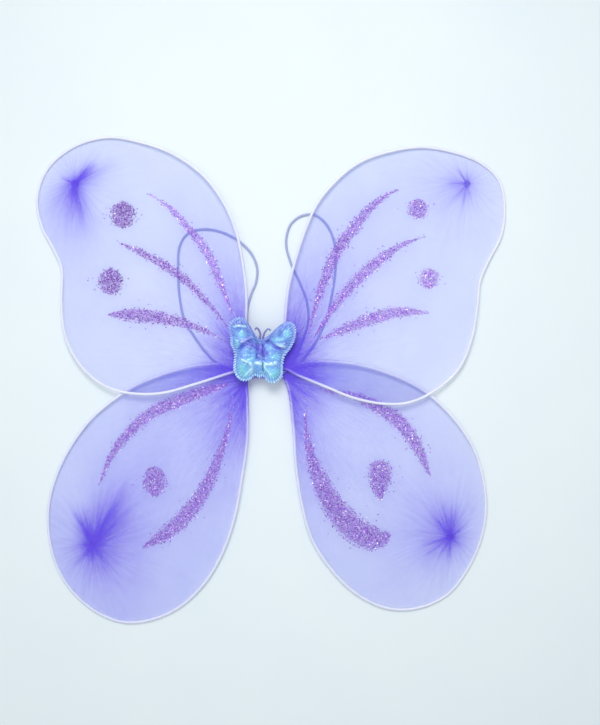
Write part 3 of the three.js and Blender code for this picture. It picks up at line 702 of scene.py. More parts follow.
def capped_faces(rows, around):
    """Rings joined to each other, and the first and last ring closed."""
    faces = grid_faces(rows, around, wrap=True)
    faces.append(tuple(range(around))[::-1])
    faces.append(tuple((rows - 1) * around + j for j in range(around)))
    return faces


def tube_rings(line, radius, sides, closed=False):
    """Rings of points round a line: radius is a number, or a function of (length, angle) arrays."""
    if closed:
        tangent = np.roll(line, -1, 0) - np.roll(line, 1, 0)
        tangent /= np.linalg.norm(tangent, axis=1)[:, None]
    else:
        tangent = directions(line)
    across = np.cross(tangent[0], (0, 0, 1) if abs(tangent[0][2]) < 0.9 else (1, 0, 0))
    sideways = []
    for t in tangent:
        across = across - t * (across @ t)
        across /= np.linalg.norm(across)
        sideways.append(across)
    sideways = np.array(sideways)
    upward = np.cross(tangent, sideways)
    angle = full_turn(sides)
    along = lengths_along(line)[:, None]
    size = radius(along, angle[None, :]) if callable(radius) else np.full((len(line), sides), radius)
    c, s = np.cos(angle)[None, :, None], np.sin(angle)[None, :, None]
    rings = line[:, None, :] + size[..., None] * (c * sideways[:, None, :] + s * upward[:, None, :])
    return rings.reshape(-1, 3)


def tube_piece(name, line, radius, sides, paint, attributes=None, closed=False):
    if closed:
        last = (len(line) - 1) * sides
        faces = grid_faces(len(line), sides, wrap=True)
        faces += [(last + j, last + (j + 1) % sides, (j + 1) % sides, j) for j in range(sides)]
    else:
        faces = capped_faces(len(line), sides)
    return make_piece(name, tube_rings(line, radius, sides, closed), faces, [paint], attributes)


# ------------------------------------------------ lobes

class Lobe:
    """One lobe's own sloping plane, its wire's line, and the surface of its cloth."""

    def __init__(self, name, facts):
        self.name = name
        self.facts = facts
        self.number = list(LOBES).index(name)
        self.seed = 3.0 * self.number + 0.7
        dx, dy = facts["droop"]
        tilt = Matrix.Rotation(math.radians(facts["tilt"]), 3, Vector((-dy, dx, 0)).normalized())
        self.turn = np.array(tilt)
        self.body = f"{name}_lobe"
        self.wire = smooth_line(facts["inner"] + facts["rim"] + facts["outer"])
        self.tie = np.array(facts["tie"], float)
        self.toe = np.array(facts["toe_at"], float)
        start = nearest_length(self.wire, facts["inner"][2])
        end = nearest_length(self.wire, facts["outer"][-3])
        along = lengths_along(self.wire)
        self.rim = self.wire[(along >= start) & (along <= end)]
        bend_in, bend_out = np.array(facts["rim"][0], float), np.array(facts["rim"][-1], float)
        self.bend_middle = (bend_in + bend_out) / 2
        across = (bend_in - bend_out) / np.linalg.norm(bend_in - bend_out)
        outward = np.array([-across[1], across[0]])
        far = self.rim.mean(0) - self.bend_middle
        self.bend_out = outward if outward @ far > 0 else -outward

    def world(self, local):
        """Points in the lobe's plane to the whole object's frame, both in millimetres."""
        local = np.asarray(local, float)
        if local.shape[1] == 2:
            local = np.column_stack([local, np.zeros(len(local))])
        return local @ self.turn.T + np.array([0, 0, self.facts["height"]])

    def bend(self, piece, reach=7.0):
        """Works out the bend line's two ends, which are not used, and bakes the piece's transform into its
        mesh.
        """
        way = reach * self.bend_out
        ends = self.world([self.bend_middle - way, self.bend_middle + way])
        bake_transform(piece)

    def fineness(self, points):
        """The size of the cloth's triangles: small at the toe and the root."""
        r, _ = polar(points, self.tie)
        rho, _ = polar(points, self.toe)
        return np.minimum(4.5, np.minimum(0.85 + 0.035 * rho, 1.0 + 0.022 * r))

    def folds(self, points, centre, lines, sharp):
        """Thin folds that run out from a tied place: (direction, reach, strength) each."""
        rho, phi = polar(points, centre)
        folds = np.zeros(len(points))
        for direction, reach, strength in lines:
            off = turned_from(phi, direction)
            line = np.exp(-((rho * np.sin(off) / (sharp + 0.045 * rho)) ** 2) - (rho / reach) ** 3)
            folds += strength * np.where(off < math.pi / 2, line, 0)
        return folds * (1 - bell(rho / 2.2))

    def root_folds(self, points):
        return self.folds(points, self.tie, self.facts["root_folds"], 1.1)

    def toe_folds(self, points):
        return self.folds(points, self.toe, self.facts["toe"]["folds"], 0.8)

    def toe_spot(self, points):
        """The dense spot at the tied end: a core, a halo that reaches further some ways, and arms."""
        rho, phi = polar(points, self.toe)
        toe = self.facts["toe"]
        core, core_radius = toe["core"]
        halo, size, spurs = toe["halo"]
        reach = np.full(len(rho), float(size))
        for direction, extra, sharpness in spurs:
            reach += extra * ((1 + np.cos(phi - math.radians(direction))) / 2) ** sharpness
        spot = core * bell(rho / core_radius) + halo * np.exp(-rho / reach)
        for direction, length, width, strength in toe["arms"]:
            off = turned_from(phi, direction) / math.radians(width)
            spot += strength * np.exp(-((rho / length) ** 3) - off**2)
        return spot

    def middle(self, points, to_wire):
        """Height of the middle of the two layers: gathers at the root, folds at the toe, slack."""
        r, a = polar(points, self.tie)
        rho, _ = polar(points, self.toe)
        wander = 1.6 * smooth_noise(points, 55, self.seed)
        gathers = 0.45 * np.exp(-r / 55) * np.sin(34 * a + wander)
        gathers += 0.22 * np.exp(-r / 90) * np.sin(61 * a + 2 * wander)
        folds = 1.1 * self.toe_folds(points) + 1.2 * self.root_folds(points) - 0.5 * bell(rho / 3.2)
        slack = 0.35 * smooth_noise(points, 48, self.seed + 5) + 0.15 * smooth_noise(points, 17, self.seed)
        return (gathers + folds + slack) * (1 - np.exp(-(to_wire / 6.5)))

    def half_gap(self, to_wire):
        """Half the distance between the layers: they part over the wire and meet in the middle."""
        return CLOTH_HALF_GAP + (CLOTH_OVER_WIRE - CLOTH_HALF_GAP) * np.exp(-((to_wire / 6.0) ** 1.3))

    def front(self, points):
        to_wire = distance_to(points, self.wire[::4])
        return self.middle(points, to_wire) + self.half_gap(to_wire)

    def cover(self, points, to_wire):
        """How much of what is behind it one layer of the net hides."""
        facts = self.facts
        root, reach = facts["root"]
        tail, more, width = facts["tail"]
        r, angle = polar(points, self.tie)
        facing = bell(turned_from(angle, facts["edge_at"]) / math.radians(width))
        gathered = root * np.exp(-((r / reach) ** 2.2)) + (tail + more * facing) * np.exp(-r / 60)
        patchy = 1 + 0.13 * smooth_noise(points, 35, self.seed + 2)
        streaks = 0.22 * smooth_noise(np.column_stack([30 * angle, r / 9]), 1.0, self.seed + 4)
        streaked = 1 + streaks * np.exp(-r / 120)
        lean_to, share = facts["lean"]
        way = np.array([math.cos(math.radians(lean_to)), math.sin(math.radians(lean_to))])
        leaning = 1 + share * (points - self.rim.mean(0)) @ way / 100
        cover = (facts["plain"] * leaning + gathered * streaked) * patchy
        cover += self.root_folds(points) + self.toe_spot(points) + self.toe_folds(points)
        taut = 1 - 0.45 * bell(to_wire / 1.6) * (1 - bell(r / 26))
        return np.clip(cover * taut, 0.03, 0.95)


def scattered_points(lobe, rim):
    """Points inside the rim on ever coarser grids: small at the toe, the root and the rim."""
    low, high = rim.min(0), rim.max(0)
    places = []
    for level in range(CLOTH_LEVELS):
        step = FINEST_CLOTH * COARSER**level
        rows = np.arange(low[1], high[1], step * math.sqrt(0.75))
        x, y = np.meshgrid(np.arange(low[0], high[0], step), rows)
        x = x + (np.arange(len(rows)) % 2)[:, None] * step / 2
        points = np.column_stack([x.ravel(), y.ravel()])
        points = points[lobe.fineness(points) >= step]
        to_rim = distance_to(points, rim)
        wanted = np.minimum(lobe.fineness(points), 1.6 + 0.4 * to_rim)
        keep = (wanted >= step) & (to_rim > 0.6 * step)
        if level < CLOTH_LEVELS - 1:
            keep &= wanted < step * COARSER
        points = points[keep]
        places.append(points[inside(points, rim)])
    return places


def cloth_plane(lobe):
    """Triangles over the lobe's plane, and which of their points follow the rim."""
    rim = evenly(lobe.rim, 1.9)
    ahead = np.roll(rim, -1, axis=0)
    if (rim[:, 0] * ahead[:, 1] - rim[:, 1] * ahead[:, 0]).sum() < 0:
        rim = rim[::-1]
    flat = [Vector(p) for p in np.vstack([rim] + scattered_points(lobe, rim)).tolist()]
    made = geometry.delaunay_2d_cdt(flat, [], [list(range(len(rim)))], 1, 1e-6)
    points = np.array([tuple(v) for v in made[0]])
    triangles = np.array(made[2])
    a, b, c = (points[triangles[:, k]] for k in range(3))
    turned = (b[:, 0] - a[:, 0]) * (c[:, 1] - a[:, 1]) - (b[:, 1] - a[:, 1]) * (c[:, 0] - a[:, 0]) < 0
    triangles[turned] = triangles[turned][:, ::-1]
    rim_at = np.zeros(len(rim), int)
    for new, olds in enumerate(made[3]):
        for old in olds:
            if old < len(rim):
                rim_at[old] = new
    return points, triangles, rim_at


def make_sleeve(lobe):
    """A nylon sock pulled over the wire: front layer, round the wire's outside, back layer."""
    flat, triangles, rim_at = cloth_plane(lobe)
    to_wire = distance_to(flat, lobe.wire[::3])
    middle, gap = lobe.middle(flat, to_wire), lobe.half_gap(to_wire)
    cover = lobe.cover(flat, to_wire)
    rim = flat[rim_at]
    tangent = directions(rim)
    outward = np.column_stack([tangent[:, 1], -tangent[:, 0]])
    local = [np.column_stack([flat, middle + gap]), np.column_stack([flat, middle - gap])]
    covers = [cover, cover]
    rows = [rim_at]
    for a in np.radians(np.linspace(90, -90, 9)[1:-1]):
        rows.append(sum(len(part) for part in local) + np.arange(len(rim)))
        height = np.full(len(rim), CLOTH_OVER_WIRE * math.sin(a))
        local.append(np.column_stack([rim + CLOTH_OVER_WIRE * math.cos(a) * outward, height]))
        covers.append(cover[rim_at])
    rows.append(rim_at + len(flat))
    faces = triangles.tolist() + (triangles[:, ::-1] + len(flat)).tolist()
    for upper, lower in zip(rows, rows[1:]):
        faces += np.column_stack([upper[:-1], lower[:-1], lower[1:], upper[1:]]).tolist()
    local = np.vstack(local)
    attributes = {"rest_place": flattened(local), "cover": np.concatenate(covers)}
    paint = nylon_paint(lobe.name, lobe.facts)
    piece = make_piece(f"{lobe.name}_nylon_sleeve", lobe.world(local), faces, [paint], attributes)
    piece.visible_shadow = False
    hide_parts(f"{lobe.name}_sleeve", f"{lobe.name}_sleeve_root")
    lobe.bend(piece)
    return piece


def make_wire(lobe, paint):
    """The sheathed wire: bare and slim in the hub, thicker where its windings show round the lobe."""
    line = evenly(lobe.wire, 2.0)
    total = lengths_along(line)[-1]
    sides = 12

    def radius(along, angle):
        from_end = np.minimum(along, total - along)
        wound = np.clip((from_end - BARE_END) / THICKENS_OVER, 0, 1)
        return WIRE_RADIUS + (RIM_RADIUS - WIRE_RADIUS) * wound + 0 * angle

    rest = tube_rings(np.column_stack([line, np.zeros(len(line))]), radius, sides)
    piece = tube_piece(f"{lobe.name}_frame_wire", lobe.world(line), radius, sides, paint,
                       {"rest_place": rest * MM})
    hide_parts(f"{lobe.name}_wire", f"{lobe.name}_wire_root")
    lobe.bend(piece)


def make_tie(lobe, paint):
    """Thread wound round the gathered root."""
    turns, length, half_width, half_height = 9, 2.5, 3.0, 2.0
    t = np.linspace(0, 1, turns * 36)
    angle = 2 * math.pi * turns * t
    wander = 0.12 * np.sin(3.3 * angle)
    line = np.column_stack([
        lobe.tie[0] + length * (t - 0.5),
        lobe.tie[1] + (half_width + wander) * np.cos(angle),
        (half_height + wander) * np.sin(angle),
    ])
    piece = tube_piece(f"{lobe.name}_root_thread", lobe.world(line), 0.27, 7, paint)
    hand_over(piece, [f"{lobe.name}_root_tie"])


def make_toe_knot(lobe):
    """The sock's closed end, drawn together and tied off on the back."""
    sides, rings, knot_radius, pleats = 72, 12, 3.6, 14
    t = np.linspace(0, math.pi / 2, rings)
    angle = full_turn(sides)
    pleat = 1 + 0.16 * np.sin(pleats * angle + 1.3 * np.sin(3 * angle))
    r = (knot_radius * np.sin(t) ** 0.8)[:, None]
    height = (-0.75 - 1.2 * np.cos(t) ** 0.6)[:, None]
    local = np.stack([
        lobe.toe[0] + r * pleat * np.cos(angle),
        lobe.toe[1] + r * pleat * np.sin(angle),
        height + 0.14 * np.sin(pleats * angle) * r / knot_radius,
    ], axis=2).reshape(-1, 3)
    faces = grid_faces(rings, sides, wrap=True)
    faces.append(tuple((rings - 1) * sides + j for j in range(sides)))
    attributes = {"rest_place": flattened(local), "cover": np.full(len(local), lobe.facts["toe"]["bunch"])}
    paint = nylon_paint(f"{lobe.name}_toe", lobe.facts)
    piece = make_piece(f"{lobe.name}_toe_bunch", lobe.world(local), faces, [paint], attributes)
    return hand_over(piece, [f"{lobe.name}_toe_knot"], lobe.body)


# ------------------------------------------------ glitter

# Each flake's tint, linear, up to each share of the flakes. The last, near-white tint makes painted glints.
FLAKE_TINTS = [
    (0.30, (0.24, 0.085, 0.56)),
    (0.70, (0.34, 0.13, 0.67)),
    (0.95, (0.58, 0.38, 0.92)),
    (1.00, (0.95, 0.86, 1.00)),
]
BED_TINT = (0.36, 0.15, 0.62, 1)
FLAKES_PER_MM2 = 0.72
FLAKE_CORNERS = 6
STRAY_SHARE = 0.07


def swell_of_streak(t, widest, taper):
    """A streak's width along its length; the larger taper is, the thinner its longer tail."""
    if t > widest:
        share, left = 1 - widest, (1 - t) / (1 - widest)
    else:
        share, left = widest, t / widest
    return math.sin(math.pi / 2 * left) ** (0.35 + taper * share)


def glitter_shapes(facts):
    """Each shape's name, centreline, half width at each of its points, and thickness."""
    for i, (width, widest, taper, thickness, points) in enumerate(facts["streaks"]):
        line = evenly(smooth_line(points), 1.0)
        t = np.linspace(0, 1, len(line))
        half = np.array([max(0.4, swell_of_streak(x, widest, taper) * width / 2) for x in t])
        yield f"streak_{i + 1}", line, half, thickness
    for i, (x, y, width, height, drop, thickness) in enumerate(facts["dots"]):
        t = np.linspace(0, 1, 40)
        line = np.column_stack([np.full(40, float(x)), y + height * (t - 0.5)])
        half = np.sqrt(np.maximum(0.004, 1 - (2 * t - 1) ** 2)) * width / 2
        half *= 1 + drop * 0.9 * (t - 0.6)
        yield f"dot_{i + 1}", line, half, thickness


def scatter_flakes(lobe, line, half, normal, thickness, rng):
    """Six-sided flakes, thickest along the middle of the shape, and a few strays beside it."""
    area = float((2 * half).sum()) * np.linalg.norm(line[1] - line[0])
    count = int(area * FLAKES_PER_MM2 * thickness)
    at = rng.choice(len(line), count, p=half / half.sum())
    lane = np.clip(rng.normal(0, 0.62, count), -1.08, 1.08)
    strays = rng.uniform(0, 1, count) < STRAY_SHARE
    lane = np.where(strays, lane * 1.9, lane)
    middle = line[at] + (lane * half[at])[:, None] * normal[at] + rng.normal(0, 0.6, (count, 2))
    height = lobe.front(middle) + 0.12 + rng.uniform(0, 0.28, count)
    size = rng.uniform(0.42, 0.74, count)
    spin = rng.uniform(0, math.pi, count)
    lean = rng.normal(0, 0.30, (count, 2))
    corner = full_turn(FLAKE_CORNERS) + spin[:, None]
    x, y = size[:, None] * np.cos(corner), size[:, None] * np.sin(corner)
    z = x * lean[:, :1] + y * lean[:, 1:]
    places = np.stack([middle[:, :1] + x, middle[:, 1:] + y, height[:, None] + z], axis=2)
    pick = rng.uniform(0, 1, count)
    tints = np.ones((count, 4))
    for share, tint in reversed(FLAKE_TINTS):
        tints[pick <= share, :3] = tint
    tints[:, :3] *= rng.uniform(0.8, 1.15, count)[:, None] * thickness**-0.75
    return places.reshape(-1, 3), np.repeat(tints, FLAKE_CORNERS, axis=0)


def make_glitter(lobe, flake, film):
    """Each shape's flakes, and the bed of glue under them."""
    pieces = []
    for name, line, half, thickness in glitter_shapes(lobe.facts):
        rng = np.random.default_rng(lobe.number * 100 + len(line) + len(name))
        tangent = directions(line)
        normal = np.column_stack([-tangent[:, 1], tangent[:, 0]])
        side = half[:, None] * normal
        lanes = np.linspace(-1, 1, 9)
        bed = (line[:, None, :] + lanes[None, :, None] * side[:, None, :]).reshape(-1, 2)
        outline = np.vstack([line + side, (line - side)[::-1]])
        edge = np.clip(distance_to(bed, outline) / 2.0, 0, 1) * (0.4 + 0.6 * thickness)
        bed = np.column_stack([bed, lobe.front(bed) + 0.07])
        flakes, tints = scatter_flakes(lobe, line, half, normal, thickness, rng)
        faces = grid_faces(len(line), len(lanes))
        kinds = [1] * len(faces) + [0] * (len(flakes) // FLAKE_CORNERS)
        faces += (len(bed) + np.arange(len(flakes))).reshape(-1, FLAKE_CORNERS).tolist()
        local = np.vstack([bed, flakes])
        attributes = {
            "rest_place": flattened(local),
            "edge": np.concatenate([edge, np.ones(len(flakes))]),
            "tint": np.clip(np.vstack([np.tile(BED_TINT, (len(bed), 1)), tints]), 0, 1),
        }
        piece = make_piece(f"{lobe.name}_glitter_{name}_flakes", lobe.world(local), faces, [flake, film],
                           attributes, kinds, smooth=False)
        piece.visible_shadow = False
        pieces.append(hand_over(piece, [f"{lobe.name}_glitter_{name}"], lobe.body))
    return pieces


# ------------------------------------------------ arm loops

def crossing_strands(along, angle):
    """From -1 to 1: high where a strand of the round braid lies on top."""
    return np.maximum(np.sin(4 * angle + along * 2.6), np.sin(4 * angle - along * 2.6))


def braid_radius(along, angle):
    return STRAP_DIAMETER / 2 * (0.965 + 0.05 * crossing_strands(along, angle))


def strand_attribute(line, sides):
    return (0.5 + 0.5 * crossing_strands(lengths_along(line)[:, None], full_turn(sides))).ravel()


def make_straps(paint):
    for side, route in STRAPS.items():
        line = evenly(smooth_line(route), 0.5)
        strands = {"strand": strand_attribute(line, STRAP_SIDES)}
        piece = tube_piece(f"{side}_arm_elastic", line, braid_radius, STRAP_SIDES, paint, strands)
        hand_over(piece, [f"{side}_strap"])
        length = lengths_along(line)[-1] * MM


def make_strap_knots(paint):
    """The two ends of a loop, knotted: a flattened trefoil of the same elastic."""
    radius, sides = 1.05, 14
    for side, (x, y, z) in STRAP_KNOTS.items():
        t = np.linspace(0, 2 * math.pi, 160, endpoint=False)
        line = np.column_stack([
            x + 1.28 * (np.sin(t) + 2 * np.sin(2 * t)),
            y + 1.02 * (np.cos(t) - 2 * np.cos(2 * t)),
            z - 0.42 * np.sin(3 * t),
        ])
        strands = {"strand": strand_attribute(line, sides)}
        piece = tube_piece(f"{side}_arm_elastic_knot", line, radius, sides, paint, strands, closed=True)
        hand_over(piece, [f"{side}_strap_knot"])


# ------------------------------------------------ the butterfly ornament

def butterfly_grid(shares, around):
    """The outline's points, those points drawn towards its centre by each share, and its length."""
    outline = smooth_line(BUTTERFLY_OUTLINE, closed=True)
    total = lengths_along(outline)[-1]
    edge = at_lengths(outline, np.linspace(0, total, around, endpoint=False))
    away = edge - ORNAMENT_CENTRE
    return edge, (ORNAMENT_CENTRE + np.asarray(shares)[:, None, None] * away[None]).reshape(-1, 2), total


def ornament_base(flat):
    """Height of the ornament's underside: its wing tips stand a little proud."""
    return ORNAMENT_BASE + ORNAMENT_RISE * np.abs(flat[:, 0] - ORNAMENT_CENTRE[0])


def film_creases(points):
    """Thin crumple lines in the film, from 0 to 1."""
    ridge = 1 - np.abs(smooth_noise(points, 5.5, 15.0)) / 0.10
    fine = 1 - np.abs(smooth_noise(points, 2.8, 18.0)) / 0.09
    here_and_there = np.clip(0.55 + smooth_noise(points, 7, 21.0), 0, 1)
    return np.clip(np.maximum(ridge, 0.7 * fine), 0, 1) * here_and_there


def lace_ribs(points, place):
    """The lace rim's teeth, from -1 to 1, and how far they stand out: pressed a little unevenly."""
    ribs = np.cos(2 * math.pi * place / LACE_PITCH + 2.2 * smooth_noise(points, 7, 6.0))
    return ribs, np.clip(1.0 + 1.1 * smooth_noise(points, 3.6, 24.0), 0.25, 1.9)


def puckers(points, place):
    """The folds beside the lace, from -1 to 1."""
    return np.sin(2 * math.pi * place / PUCKER_PITCH + 2 * smooth_noise(points, 6, 2.5))


def step_at_lace(to_edge, softness):
    """1 in the lace rim, 0 inside it."""
    return 1 / (1 + np.exp((to_edge - LACE_WIDTH) / softness))


def film_tint(points, to_edge, place):
    """The film's colour: blue above to aqua below, then its patches, its lines and the lace rim, with
    painted highlights on crumples, folds and lace ribs, and painted shade on the folds' sunken halves,
    between the ribs and in the groove inside the lace.
    """
    x, y = points[:, 0], points[:, 1]
    tint = np.tile(FILM["blue"], (len(points), 1))

    def lay(colour, amount):
        return tint + np.clip(amount, 0, 1)[:, None] * (np.array(FILM[colour]) - tint)

    tint = lay("sky", (22 - y) / 20)
    tint = lay("cyan", (10 - y) / 14)
    for px, py, wide, tall, turn, colour, strength in FILM_PATCHES:
        c, s = math.cos(math.radians(turn)), math.sin(math.radians(turn))
        u, v = (c * (x - px) + s * (y - py)) / wide, (c * (y - py) - s * (x - px)) / tall
        tint = lay(colour, strength * np.exp(-((u * u + v * v) ** 1.4)))
    uneven = 0.95 + 0.55 * smooth_noise(points, 4.5, 9.0)
    for _, width, colour, strength, line in FILM_LINES:
        gap = distance_to(points, smooth_line(line, per_segment=6))
        tint = lay(colour, strength * uneven * bell(gap / width))
    # Painted highlights along the crumple lines.
    tint = lay("painted_highlight", 0.75 * film_creases(points) ** 2)
    tint = lay("blue", 0.5 * np.clip(-0.2 - smooth_noise(points, 2.6, 12.0), 0, 1) * 2)
    inner = to_edge - LACE_WIDTH
    # Painted light and shade on the folds beside the lace: pale as highlight on their raised halves, blue
    # as shade on their sunken halves.
    pucker, fold_light_and_shade = bell((inner - 1.8) / 1.6), puckers(points, place)
    tint = lay("painted_highlight", 0.45 * pucker * np.clip(fold_light_and_shade, 0, 1))
    tint = lay("blue", 0.55 * pucker * np.clip(-fold_light_and_shade, 0, 1))
    # The lace ribs: pale as painted highlight where the teeth stand out, blue as painted shade between
    # them.
    ribs, reach = lace_ribs(points, place)
    lit_rib = np.clip(0.5 + 0.5 * ribs * reach, 0, 1)
    lace, high = step_at_lace(to_edge, 0.35), np.clip((y - 18) / 20, 0, 1)
    # Painted shade in the groove just inside the lace rim.
    tint = lay("blue", 0.55 * bell((inner - 0.5) / 0.7))
    tint = lay("lavender", lace * (0.35 + 0.5 * high))
    tint = lay("painted_highlight", lace * lit_rib * (0.95 - 0.30 * high))
    tint = lay("blue", lace * (1 - lit_rib) * 0.62)
    return np.column_stack([tint, np.ones(len(points))])


def film_relief(flat, to_edge, place):
    """Height of the padded film over its underside: padding, embossed lines, body and crumple."""
    inner = to_edge - LACE_WIDTH
    puff = 4.4 * (1 - np.exp(-np.maximum(0, inner) / 4.2))
    relief = sum(lift * bell(distance_to(flat, smooth_line(line, per_segment=6)) / width)
                 for lift, width, _, _, line in FILM_LINES)
    crinkle = 0.34 * smooth_noise(flat, 3.4, 1.5) + 0.16 * smooth_noise(flat, 1.3, 4.5)
    crinkle += 0.35 * film_creases(flat)
    crinkle += 0.36 * np.exp(-((inner - 1.2) ** 2) / 3) * puckers(flat, place)
    body = np.exp(-(((flat[:, 0] + 5.2) / 2.4) ** 4)) * np.clip((flat[:, 1] - 8) / 6, 0, 1)
    body *= np.clip((35 - flat[:, 1]) / 3, 0, 1)
    filled = np.clip(inner / 1.5, 0, 1)
    return 1.15 + np.maximum(0, puff + (relief + 0.9 * body) * filled) + crinkle * filled


def make_butterfly(paint):
    """The padded, embossed film, down over its rim and back in under it."""
    around = 600
    shares = np.concatenate([np.linspace(0.012, 0.84, 40), np.linspace(0.85, 1.0, 24)])
    edge, flat, total = butterfly_grid(shares, around)
    place = np.tile(np.linspace(0, total, around, endpoint=False), len(shares))
    to_edge = distance_to(flat, np.vstack([edge, edge[:1]]))
    ribs, reach = lace_ribs(flat, place)
    teeth = step_at_lace(to_edge, 0.3) * ribs * reach
    height = film_relief(flat, to_edge, place) + 0.50 * teeth * np.clip(to_edge / 0.5 + 0.6, 0, 1)
    away = flat - ORNAMENT_CENTRE
    away /= np.linalg.norm(away, axis=1)[:, None]
    top = np.column_stack([flat + 0.55 * teeth[:, None] * away, ornament_base(flat) + height])
    rim = top[-around:] - (0, 0, 0.35)
    _, inner, _ = butterfly_grid([0.9], around)
    points = np.vstack([top, rim, np.column_stack([inner, ornament_base(inner) + 0.8])])
    faces = grid_faces(len(shares) + 2, around, wrap=True)
    faces.append(tuple(range(around))[::-1])
    edges = np.concatenate([to_edge, np.zeros(around), np.full(around, 3.0)])
    places = np.concatenate([place, place[:around], place[:around]])
    tints = film_tint(points, edges, places)
    piece = make_piece("butterfly_padded_film", points, faces, [paint], {"tint": tints})
    hand_over(piece, ["ornament_film", "ornament_padding"])


def make_butterfly_back(paint):
    """The flat film that closes the ornament behind."""
    around, rings = 240, 22
    _, flat, _ = butterfly_grid(np.linspace(0.02, 0.94, rings), around)
    base = ornament_base(flat) + 0.12 * smooth_noise(flat, 4, 8.0)
    low = np.column_stack([flat, base + 0.15])
    high = np.column_stack([flat, base + 0.6]).reshape(rings, around, 3)[::-1].reshape(-1, 3)
    points = np.vstack([low, high])
    faces = [f[::-1] for f in capped_faces(2 * rings, around)]
    far_inside = np.full(len(points), 9.0)
    tints = film_tint(points, far_inside, far_inside)
    piece = make_piece("butterfly_back_film", points, faces, [paint], {"tint": tints})
    hand_over(piece, ["ornament_backing"])


def make_antennae(paint):
    """Two curled feelers, thinner towards their tips."""
    sides = 12
    for side, route in ANTENNAE.items():
        line = evenly(smooth_line(route), 0.25)
        total = lengths_along(line)[-1]

        def radius(along, angle):
            return (1.08 - 0.24 * along / total) * (1 + 0.05 * np.sin(9 * along + 0 * angle))

        tints = np.tile((0.17, 0.15, 0.46, 1.0), (len(line) * sides, 1))
        piece = tube_piece(f"butterfly_{side}_feeler", line, radius, sides, paint, {"tint": tints})
        hand_over(piece, [f"ornament_antenna_{side}"])


# ------------------------------------------------ the hub

def pad_points(size, centre, around, rings, edge_power):
    """Points of an oval pad, its rim rounded: the larger edge_power, the flatter its two faces."""
    turn = full_turn(around)
    slope = np.linspace(0.02, math.pi - 0.02, rings)[:, None]
    reach, lift = np.sin(slope) ** (1 / edge_power), np.cos(slope)
    x = centre[0] + size[0] / 2 * reach * np.cos(turn)
    y = centre[1] + size[1] / 2 * reach * np.sin(turn)
    z = centre[2] + size[2] / 2 * np.sign(lift) * np.abs(lift) ** 0.35 * np.ones(around)
    return np.stack([x, y, z], axis=2).reshape(-1, 3)


def make_patch(felt, thread):
    """The felt oval against the back, with a running stitch round it."""
    around, rings, stitches, stitch_points, inset = 220, 44, 44, 8, 2
    size, centre = PATCH_SIZE, np.array([0, PATCH_MIDDLE, PATCH_SIZE[2] / 2 + 0.06])
    points = pad_points(size, centre, around, rings, 2.6)
    fuzz = np.array([noise.noise(Vector(p) / 0.8) for p in points])
    away = points - centre
    points += 0.05 * fuzz[:, None] * away / np.linalg.norm(away, axis=1)[:, None]
    points[:, 2] = np.clip(points[:, 2], 0.05, None)
    faces = capped_faces(rings, around)
    kinds = [0] * len(faces)
    vertices = [points]
    bow = 0.40 + 0.18 * np.sin(np.linspace(0, math.pi, stitch_points))
    for i in range(0, stitches, 2):
        t = np.linspace(i, i + 1.1, stitch_points) * 2 * math.pi / stitches
        x, y = (size[0] / 2 - inset) * np.cos(t), centre[1] + (size[1] / 2 - inset) * np.sin(t)
        for side in (1, -1):
            first = sum(len(v) for v in vertices)
            line = np.column_stack([x, y, centre[2] + side * bow])
            vertices.append(tube_rings(line, 0.2, 7))
            faces += [tuple(first + k for k in f) for f in capped_faces(stitch_points, 7)]
    kinds += [1] * (len(faces) - len(kinds))
    piece = make_piece("back_felt_patch", np.vstack(vertices), faces, [felt, thread], face_paints=kinds)
    hand_over(piece, ["back_patch"])


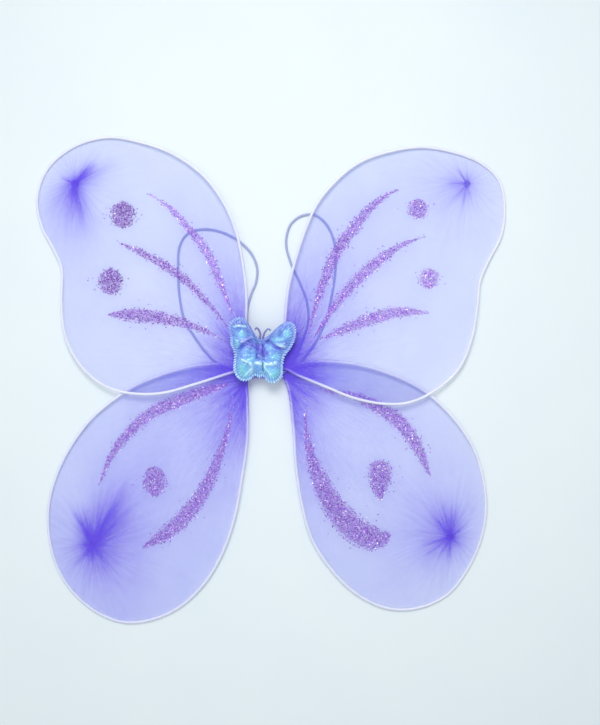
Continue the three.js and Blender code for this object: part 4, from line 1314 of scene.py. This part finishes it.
def make_wrap(paint):
    """Tape wound in overlapping turns round the four bundled roots."""
    length, width, height = WRAP_SIZE
    rows, around, turns = 150, 120, 6
    x = np.linspace(-length / 2, length / 2, rows)
    turn = full_turn(around)
    c, s = np.cos(turn), np.sin(turn)
    outline = np.column_stack([np.sign(c) * np.abs(c) ** 0.45, np.sign(s) * np.abs(s) ** 0.45])
    phase = (x[:, None] / length * turns + turn[None, :] / (2 * math.pi)) % 1
    grid = np.stack(np.broadcast_arrays(1.2 * x[:, None], *(6 * outline.T[:, None, :])), axis=2)
    wrinkle = np.array([noise.noise(Vector(p) * 0.9) for p in grid.reshape(-1, 3)]).reshape(rows, around)
    proud = 0.42 * np.clip(phase / 0.08, 0, 1) * (1 - 0.75 * phase) - 0.36 + 0.08 * wrinkle

    def ring(i, out):
        sizes = np.column_stack([width / 2 + out, height / 2 + out]) * outline
        return np.column_stack([np.full(around, x[i]), sizes])

    outer = [ring(i, proud[i]) for i in range(rows)]
    inner = [ring(i, np.full(around, -WRAP_WALL)) for i in (rows - 1, rows // 2, 0)]
    points = np.vstack(outer + inner + outer[:1]) + np.array(WRAP_CENTRE)
    faces = [f[::-1] for f in grid_faces(rows + 4, around, wrap=True)]
    hand_over(make_piece("hub_tape_wrap", points, faces, [paint]), ["hub_wrap"])


def make_glue(paint):
    """The set blob of hot glue that holds the ornament, squeezed out into lobes at its edge."""
    around, rings = 160, 30
    points = pad_points(GLUE_SIZE, GLUE_CENTRE, around, rings, 2.2)
    middle = np.array(GLUE_CENTRE[:2])
    _, angle = polar(points[:, :2], middle)
    squeeze = 0.94 + 0.05 * np.sin(5 * angle + 0.6) + 0.03 * np.sin(11 * angle)
    points[:, :2] = middle + (points[:, :2] - middle) * squeeze[:, None]
    points[:, 2] += 0.06 * smooth_noise(points, 3.0, 6.0)
    piece = make_piece("hot_glue_blob", points, capped_faces(rings, around), [paint])
    hand_over(piece, ["glue_pad"])


# ------------------------------------------------ the whole

make_camera()
elastic = elastic_paint()
make_straps(elastic)
make_studio()
make_floor()

sheath, thread = sheath_paint(), thread_paint()
flakes, glue_film = flake_paint(), glue_film_paint()
for lobe_name, lobe_facts in LOBES.items():
    one = Lobe(lobe_name, lobe_facts)
    make_wire(one, sheath)
    sleeve = make_sleeve(one)
    make_tie(one, thread)
    carried = [make_toe_knot(one)] + make_glitter(one, flakes, glue_film)
make_strap_knots(elastic)
film = film_paint()
make_butterfly(film)
make_butterfly_back(film)
make_antennae(film)
make_patch(felt_paint(), thread)
make_wrap(tape_paint())
make_glue(glue_paint())
